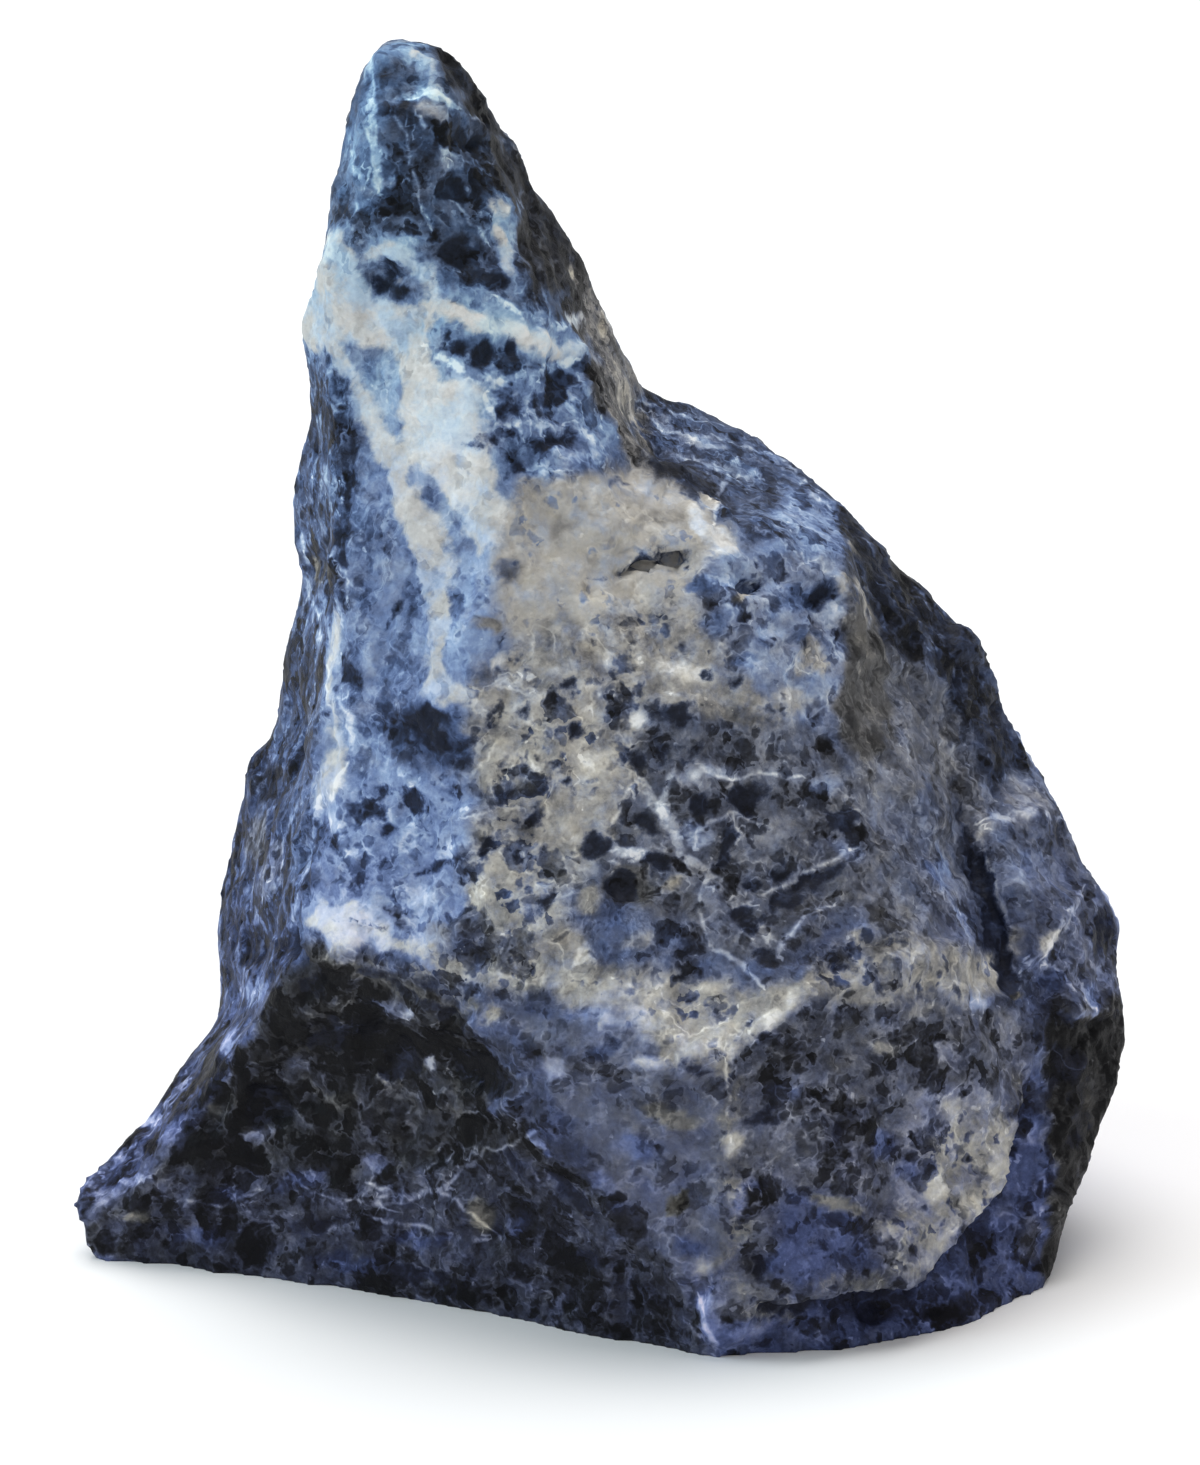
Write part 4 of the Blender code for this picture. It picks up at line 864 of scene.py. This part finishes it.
def stone_piece(node):
    """The CAD solid with a finer, broken surface and with its markings on the points."""
    piece = finer_piece(node)
    low, high = (np.array(corner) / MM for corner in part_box(node.name))
    points, normals = arrays(piece.data)
    found = marks(points, normals)
    points = points + normals * relief(points, normals, found)[:, None]
    points[:, 2] = np.where(points[:, 2] < FLAT_BASE, 0.0, points[:, 2])
    piece.data.vertices.foreach_set("co", (np.clip(points, low, high) * MM).ravel())
    piece.data.update()
    for name, values in found.items():
        piece.data.attributes.new(name, "FLOAT", "POINT").data.foreach_set("value", values.astype(np.float32))
    for face in piece.data.polygons:
        face.use_smooth = True
    return piece


class Nodes:
    """Short ways to add shader nodes to one material."""

    def __init__(self, material):
        material.use_nodes = True
        self.tree = material.node_tree
        self.shader = self.tree.nodes["Principled BSDF"]

    def set(self, socket, value):
        """Links an output to a socket, or sets a plain value on it."""
        if isinstance(value, bpy.types.NodeSocket):
            self.tree.links.new(value, socket)
        else:
            socket.default_value = value

    def fill(self, node, values, sockets=None):
        """Sets the node's inputs in order, or the numbered ones, and gives its first output."""
        for n, value in zip(sockets or range(len(values)), values):
            self.set(node.inputs[n], value)
        return node.outputs[0]

    def attribute(self, name):
        node = self.tree.nodes.new("ShaderNodeAttribute")
        node.attribute_name = name
        return node.outputs["Fac"]

    def math(self, kind, *values, clamp=False):
        node = self.tree.nodes.new("ShaderNodeMath")
        node.operation = kind
        node.use_clamp = clamp
        return self.fill(node, values)

    def add(self, first, *others):
        return reduce(lambda a, b: self.math("ADD", a, b), others, first)

    def times(self, first, *others):
        return reduce(lambda a, b: self.math("MULTIPLY", a, b), others, first)

    def spread(self, value, amount):
        """A value from 0 to 1 turned into one about 0, amount wide."""
        return self.times(self.math("SUBTRACT", value, 0.5), amount)

    def ridge(self, value, width):
        """1 where a value from 0 to 1 crosses the middle, and 0 from width away."""
        return self.step(self.math("ABSOLUTE", self.math("SUBTRACT", value, 0.5)), width, 0.0)

    def vector(self, kind, *values):
        node = self.tree.nodes.new("ShaderNodeVectorMath")
        node.operation = kind
        return self.fill(node, values)

    def scaled(self, vector, scale):
        node = self.tree.nodes.new("ShaderNodeVectorMath")
        node.operation = "SCALE"
        node.inputs["Scale"].default_value = scale
        return self.fill(node, (vector,))

    def split(self, vector):
        node = self.tree.nodes.new("ShaderNodeSeparateXYZ")
        self.fill(node, (vector,))
        return node.outputs

    def join(self, x, y, z):
        return self.fill(self.tree.nodes.new("ShaderNodeCombineXYZ"), (x, y, z))

    def mix(self, share, a, b):
        """A share of b in a, for numbers."""
        return self.fill(self.tree.nodes.new("ShaderNodeMix"), (share, a, b), (0, 2, 3))

    def mix_colour(self, share, a, b):
        """A share of b in a, for colours."""
        node = self.tree.nodes.new("ShaderNodeMix")
        node.data_type = "RGBA"
        self.fill(node, (share, a, b), (0, 6, 7))
        return node.outputs[2]

    def noise(self, vector, spacing, detail=4.0, rough=0.55, output="Fac"):
        node = self.tree.nodes.new("ShaderNodeTexNoise")
        self.set(node.inputs["Vector"], vector)
        node.inputs["Scale"].default_value = 1 / spacing
        node.inputs["Detail"].default_value = detail
        node.inputs["Roughness"].default_value = rough
        return node.outputs[output]

    def bent(self, vector, by, spacing, detail, amount):
        """A vector shifted by a noise in the places of another, amount wide."""
        shift = self.vector("SUBTRACT", self.noise(by, spacing, detail, output="Color"), (0.5, 0.5, 0.5))
        return self.vector("ADD", vector, self.scaled(shift, amount))

    def grains(self, vector, spacing, smallest, largest, edge, more=0.0):
        """Rounded grains of many sizes: 1 inside and 0 between, a random value of each, and their rims."""
        node = self.tree.nodes.new("ShaderNodeTexVoronoi")
        self.set(node.inputs["Vector"], vector)
        node.inputs["Scale"].default_value = 1 / spacing
        own = self.split(node.outputs["Color"])
        reach = self.math("MULTIPLY_ADD", own[0], largest - smallest, smallest)
        inside = self.math("SUBTRACT", self.add(reach, more), node.outputs["Distance"])
        around = self.step(inside, -edge * 3.4, -edge)
        rim = self.math("SUBTRACT", around, self.step(inside, -edge, edge * 0.4))
        return self.step(inside, -edge, edge), own[1], rim

    def step(self, value, low, high, to_low=0.0, to_high=1.0):
        node = self.tree.nodes.new("ShaderNodeMapRange")
        node.interpolation_type = "SMOOTHSTEP"
        return self.fill(node, (value, low, high, to_low, to_high))

    def ramp(self, value, stops):
        node = self.tree.nodes.new("ShaderNodeValToRGB")
        elements = node.color_ramp.elements
        elements[0].position, elements[0].color = stops[0][0], (*stops[0][1], 1)
        elements[1].position, elements[1].color = stops[-1][0], (*stops[-1][1], 1)
        for place, colour in stops[1:-1]:
            elements.new(place).color = (*colour, 1)
        return self.fill(node, (value,))


# Grains: spacing in mm, smallest and largest reach as shares of it, and how soft their edge is
BIG_GRAINS = (3.3, -0.05, 0.62, 0.10)
SMALL_GRAINS = (1.35, -0.15, 0.64, 0.15)
LONG_GRAINS = (2.0, -0.10, 0.66, 0.12)
# Specks and glints: partly pale specks of the stone, partly painted glints, light specks in the colour that
# stand for small glossy highlights
SPECKS_AND_PAINTED_GLINTS = (0.95, -0.60, 0.34, 0.07)

# Noises of the material: spacing in mm, detail and roughness
MOTTLE = (2.4, 6.0, 0.62)
SPECKS = (0.55, 3.0, 0.6)
CLOUDS = (6.5, 3.0, 0.55)
TINTS = (1.9, 4.0, 0.6)
CLUSTERS = (7.5, 3.0, 0.6)

# What bends the pattern: a noise's spacing in mm and detail, and how far it shifts things, in mm
WIDE_WARP = (2.8, 3.0, 3.4)
FINE_WARP = (0.8, 2.0, 0.9)
GRAIN_WARP = (1.3, 2.0, 2.2)

# Colours from dark to light, and what the blue is multiplied by, from violet at the foot to green at the tip
BLUE_STOPS = (
    (0.0, (0.005, 0.006, 0.009)), (0.15, (0.014, 0.019, 0.036)), (0.3, (0.032, 0.049, 0.100)),
    (0.45, (0.078, 0.119, 0.232)), (0.6, (0.174, 0.250, 0.430)), (0.75, (0.336, 0.446, 0.626)),
    (0.88, (0.560, 0.660, 0.790)), (1.0, (0.800, 0.850, 0.890)),
)
GREY_STOPS = (
    (0.0, (0.005, 0.005, 0.006)), (0.15, (0.020, 0.020, 0.022)), (0.3, (0.056, 0.057, 0.062)),
    (0.45, (0.138, 0.140, 0.150)), (0.6, (0.285, 0.282, 0.280)), (0.75, (0.450, 0.442, 0.425)),
    (0.88, (0.620, 0.615, 0.590)), (1.0, (0.820, 0.820, 0.800)),
)
TINT_STOPS = (
    (0.1, (0.96, 0.83, 0.97)), (0.38, (0.96, 0.94, 1.0)),
    (0.62, (0.94, 0.96, 1.0)), (0.88, (0.85, 0.98, 0.97)),
)
TINT_TOP = 110.0  # the height in mm at which the tint ends
TAN = (1.09, 1.0, 0.80)  # what grey is multiplied by at warmth 2
WHITE_VALUE = 0.735
HALO_VALUE = 0.70
DARK_VALUE = 0.09
BUMP = 0.35  # in mm

# Floor, and lamps: the side they shine from, strength, width in degrees and colour
FLOOR_WIDTH = 8.0  # in m
FLOOR_WHITE = (0.93, 0.93, 0.93, 1)
SKY_STRENGTH = 0.34
LAMPS = {
    "window": ((-0.85, -0.1, 0.55), 1.25, 40, (0.72, 0.91, 1.0)),
    "ceiling": ((-0.02, 0.36, 1.0), 2.35, 48, (1.0, 0.98, 0.97)),
    "front_fill": ((0.25, -1.0, 0.6), 0.40, 60, (1.0, 0.97, 0.96)),
}


def shared_fields(n):
    """What several parts of the material read: places in mm, noises, grains and the markings' own values."""
    f = SimpleNamespace()
    f.place = n.scaled(n.tree.nodes.new("ShaderNodeTexCoord").outputs["Object"], 1 / MM)
    f.shifted = n.bent(f.place, f.place, *WIDE_WARP)
    f.bent = n.bent(f.shifted, f.place, *FINE_WARP)
    f.tone, f.streak = n.attribute("tone"), n.attribute("streak")
    f.mottle = n.noise(f.bent, *MOTTLE)
    f.fine = n.noise(f.place, *SPECKS)
    f.cloud = n.noise(f.place, *CLOUDS)
    f.tint = n.noise(f.place, *TINTS)
    f.ragged = n.add(n.spread(n.noise(f.place, *MOTTLE), 4.6), n.spread(f.fine, 0.9))
    f.darker = n.times(n.math("SUBTRACT", 0.42, f.tone), 0.6)
    denser = n.add(f.darker, n.step(n.noise(f.place, *CLUSTERS), 0.38, 0.6, -0.22, 0.10))
    f.big = n.grains(n.bent(f.bent, f.place, *GRAIN_WARP), *BIG_GRAINS, denser)
    f.small = n.grains(f.bent, *SMALL_GRAINS, denser)
    patchy = n.step(n.noise(f.place, 4.2, 2.0), 0.44, 0.62)
    f.wisp = n.times(n.ridge(n.noise(f.shifted, 3.4, 1.5), 0.045), patchy)
    return f


def spotted(n, f):
    """Dark grains of two sizes, their paler rims, and light wisps, about 0."""
    (big, big_own, big_rim), (small, small_own, small_rim) = f.big, f.small
    big_part = n.times(big, n.math("MULTIPLY_ADD", big_own, 0.8, 0.4), -0.24)
    small_part = n.times(small, n.math("MULTIPLY_ADD", small_own, 0.9, 0.35), -0.20)
    rims = n.times(n.add(big_rim, small_rim), 0.05)
    return n.add(big_part, small_part, n.times(f.wisp, 0.17), n.spread(f.mottle, 0.74), rims, 0.07)


def streaky(n, f):
    """Grains and light strands drawn out downhill, about 0."""
    x, y, z = n.split(f.bent)
    slope = n.step(x, -9.0, 12.0, -0.36, 0.40)
    drawn = n.join(n.times(n.add(x, n.times(z, slope)), 1.5), n.times(y, 1.5), n.times(z, 0.30))
    grain, own, rim = n.grains(drawn, *LONG_GRAINS, f.darker)
    strand = n.ridge(n.noise(drawn, 3.0, 2.0, 0.6), 0.05)
    strand = n.times(strand, n.step(n.noise(drawn, 5.0, 2.0), 0.40, 0.60), 0.26)
    grain_part = n.times(grain, n.math("MULTIPLY_ADD", own, 0.9, 0.3), -0.30)
    return n.add(grain_part, strand, n.spread(f.mottle, 0.70), n.times(rim, 0.10), 0.06)


def crystal_pattern(n, f):
    """The crystals' own lights and darks, with pale specks and painted glints, about 0."""
    specks_and_glints = n.times(n.grains(f.bent, *SPECKS_AND_PAINTED_GLINTS)[0], n.step(n.noise(f.place, 3.0, 2.0), 0.42, 0.6))
    pattern = n.mix(f.streak, spotted(n, f), streaky(n, f))
    return n.add(pattern, n.spread(f.fine, 0.26), n.times(specks_and_glints, 0.22))


def with_masses(n, f, value, warmth, pattern):
    """Value and warmth with the cream and white masses and the pale halo round the white ones; the cream
    strokes also carry painted highlights on the lower-right ledge and, in part, on the lower-left wall's
    crest.
    """
    small, small_own, _ = f.small
    cream = n.step(n.add(n.attribute("cream"), f.ragged), -0.9, 0.9)
    dim_grains = n.math("MAXIMUM", n.times(small, small_own), n.times(f.big[0], f.big[1]))
    cream_warmth = n.add(1.02, n.spread(f.tint, 2.4), n.times(dim_grains, -0.9))
    share = n.times(cream, n.step(n.noise(f.place, 4.6, 4.0, 0.6), 0.36, 0.56, 0.35, 0.9))
    warmth = n.mix(share, warmth, cream_warmth)
    value = n.add(value, n.times(share, 0.02))

    depth = n.attribute("white")
    halo = n.times(n.step(n.add(depth, f.ragged), -2.4, -0.1), n.math("SUBTRACT", 1.0, cream))
    value = n.mix(n.times(halo, 0.55), value, n.add(HALO_VALUE, n.times(pattern, 0.5)))
    warmth = n.mix(n.times(halo, 0.6), warmth, 0.0)

    white = n.step(n.add(depth, n.times(f.ragged, 0.45)), -0.5, 0.35)
    own = n.add(WHITE_VALUE, n.times(f.tone, 0.3), n.spread(f.mottle, 0.30), n.spread(f.fine, 0.20))
    own = n.add(own, n.times(small, small_own, -0.13))
    value = n.mix(n.times(white, 0.95), value, own)
    pale = n.step(n.noise(f.place, 3.4, 5.0, 0.6), 0.38, 0.62, 0.15, 0.95)
    return value, n.mix(white, warmth, pale)


def vein_light(n, f):
    """How much light the thin veins add."""
    wobble = n.add(n.attribute("vein_aside"), n.spread(n.noise(f.place, 1.5, 2.0), 0.5))
    line = n.step(n.math("SUBTRACT", n.math("ABSOLUTE", wobble), n.attribute("vein_half")), 0.22, -0.16)
    near = n.step(n.attribute("vein_near"), 0.7, 0.4)
    return n.times(line, near, n.step(n.noise(f.place, 1.8, 3.0), 0.36, 0.56), 0.32)


def rock_colour(n, f, value, warmth):
    """Blue at warmth 0, grey at 1 and tan at 2, tinted by height where it is blue."""
    level = n.math("DIVIDE", n.add(n.split(f.place)[2], n.spread(f.cloud, 40.0)), TINT_TOP)
    blue = n.vector("MULTIPLY", n.ramp(value, BLUE_STOPS), n.ramp(level, TINT_STOPS))
    grey = n.ramp(value, GREY_STOPS)
    colour = n.mix_colour(n.math("ADD", warmth, 0.0, clamp=True), blue, grey)
    return n.mix_colour(n.math("SUBTRACT", warmth, 1.0, clamp=True), colour, n.vector("MULTIPLY", grey, TAN))


def stone_material():
    """Blue, black, white and cream sodalite rock: dark grains in a paler matrix, wisps, veins and masses,
    with painted shade, painted highlights on some edges and painted glints in places.
    """
    material = bpy.data.materials.new("sodalite_rock")
    n = Nodes(material)
    f = shared_fields(n)
    grain = n.attribute("grain")
    pattern = crystal_pattern(n, f)
    value = n.add(f.tone, n.times(pattern, grain), n.times(n.spread(f.cloud, 0.36), grain))
    warmth = n.add(n.attribute("warm"), n.spread(f.tint, 1.1))
    value, warmth = with_masses(n, f, value, warmth, pattern)
    value = n.add(value, vein_light(n, f))

    # The dark mask: black grains and cracks, and painted shade in the pits, the groove, under the lower-right
    # ledge and in part on the lower-left wall.
    dark = n.step(n.add(n.attribute("dark"), n.times(f.ragged, 0.5)), -0.25, 0.4)
    dark_value = n.add(DARK_VALUE, n.spread(f.mottle, 0.5), n.spread(f.fine, 0.2), n.times(f.wisp, 0.15))
    value = n.mix(n.times(dark, 0.92), value, n.math("MINIMUM", value, dark_value))
    warmth = n.times(warmth, n.math("MULTIPLY_ADD", dark, -0.6, 1.0))

    n.set(n.shader.inputs["Base Color"], rock_colour(n, f, value, warmth))
    n.set(n.shader.inputs["Roughness"], n.add(0.50, n.times(value, 0.25), n.spread(f.fine, 0.3)))
    n.shader.inputs["Specular IOR Level"].default_value = 0.1
    lumps = n.spread(n.noise(f.bent, 1.2, 6.0, 0.58), 0.9)
    bump = n.tree.nodes.new("ShaderNodeBump")
    bump.inputs["Strength"].default_value = 0.7
    bump.inputs["Distance"].default_value = BUMP * MM
    n.set(bump.inputs["Height"], n.add(lumps, n.times(dark, -0.2), n.times(f.small[0], -0.12)))
    n.set(n.shader.inputs["Normal"], bump.outputs[0])
    return material


def floor():
    """A plain white floor, far wider than the view."""
    bpy.ops.mesh.primitive_plane_add(size=FLOOR_WIDTH, location=(0, 0, 0))
    sheet = bpy.context.object
    sheet.name = "floor"
    material = bpy.data.materials.new("floor_white")
    n = Nodes(material)
    n.shader.inputs["Base Color"].default_value = FLOOR_WHITE
    n.shader.inputs["Roughness"].default_value = 0.9
    n.shader.inputs["Specular IOR Level"].default_value = 0.0
    sheet.data.materials.append(material)


def daylight(name, source, strength, spread, colour):
    """Light from far away in the direction of source, with soft shadows: spread is its width in degrees."""
    lamp = bpy.data.lights.new(name, "SUN")
    lamp.energy = strength
    lamp.angle = math.radians(spread)
    lamp.color = colour
    light = bpy.data.objects.new(name, lamp)
    light.rotation_euler = Vector(source).to_track_quat("Z", "Y").to_euler()
    bpy.context.scene.collection.objects.link(light)


def lighting():
    """Soft cool daylight from the left, light from above and behind, a weak fill and an even white sky."""
    world = bpy.data.worlds.new("sky")
    bpy.context.scene.world = world
    world.use_nodes = True
    sky = world.node_tree.nodes["Background"]
    sky.inputs["Color"].default_value = (1.0, 1.0, 1.0, 1)
    sky.inputs["Strength"].default_value = SKY_STRENGTH
    for name, lamp in LAMPS.items():
        daylight(name, *lamp)


def camera():
    """The long lens that gives the front view."""
    lens = bpy.data.cameras.new("camera")
    lens.lens = LENS
    lens.sensor_width = SENSOR
    eye = bpy.data.objects.new("camera", lens)
    back = np.array((0.0, -math.cos(SIGHT_DOWN), math.sin(SIGHT_DOWN)))
    eye.location = (AIM + DISTANCE * back) * MM
    eye.rotation_euler = (math.pi / 2 - SIGHT_DOWN, 0, 0)
    bpy.context.scene.collection.objects.link(eye)
    bpy.context.scene.camera = eye


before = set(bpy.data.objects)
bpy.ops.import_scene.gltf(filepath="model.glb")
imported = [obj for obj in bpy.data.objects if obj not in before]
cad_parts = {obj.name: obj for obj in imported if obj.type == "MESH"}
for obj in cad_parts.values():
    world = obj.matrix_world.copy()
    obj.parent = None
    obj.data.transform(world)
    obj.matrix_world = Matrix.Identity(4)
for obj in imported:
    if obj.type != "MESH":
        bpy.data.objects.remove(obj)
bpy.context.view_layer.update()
camera()
stone = stone_piece(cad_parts["sodalite"])
stone.data.materials.append(stone_material())
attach(stone, "root")
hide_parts("sodalite")
floor()
lighting()
bpy.context.scene.view_settings.view_transform = "Standard"
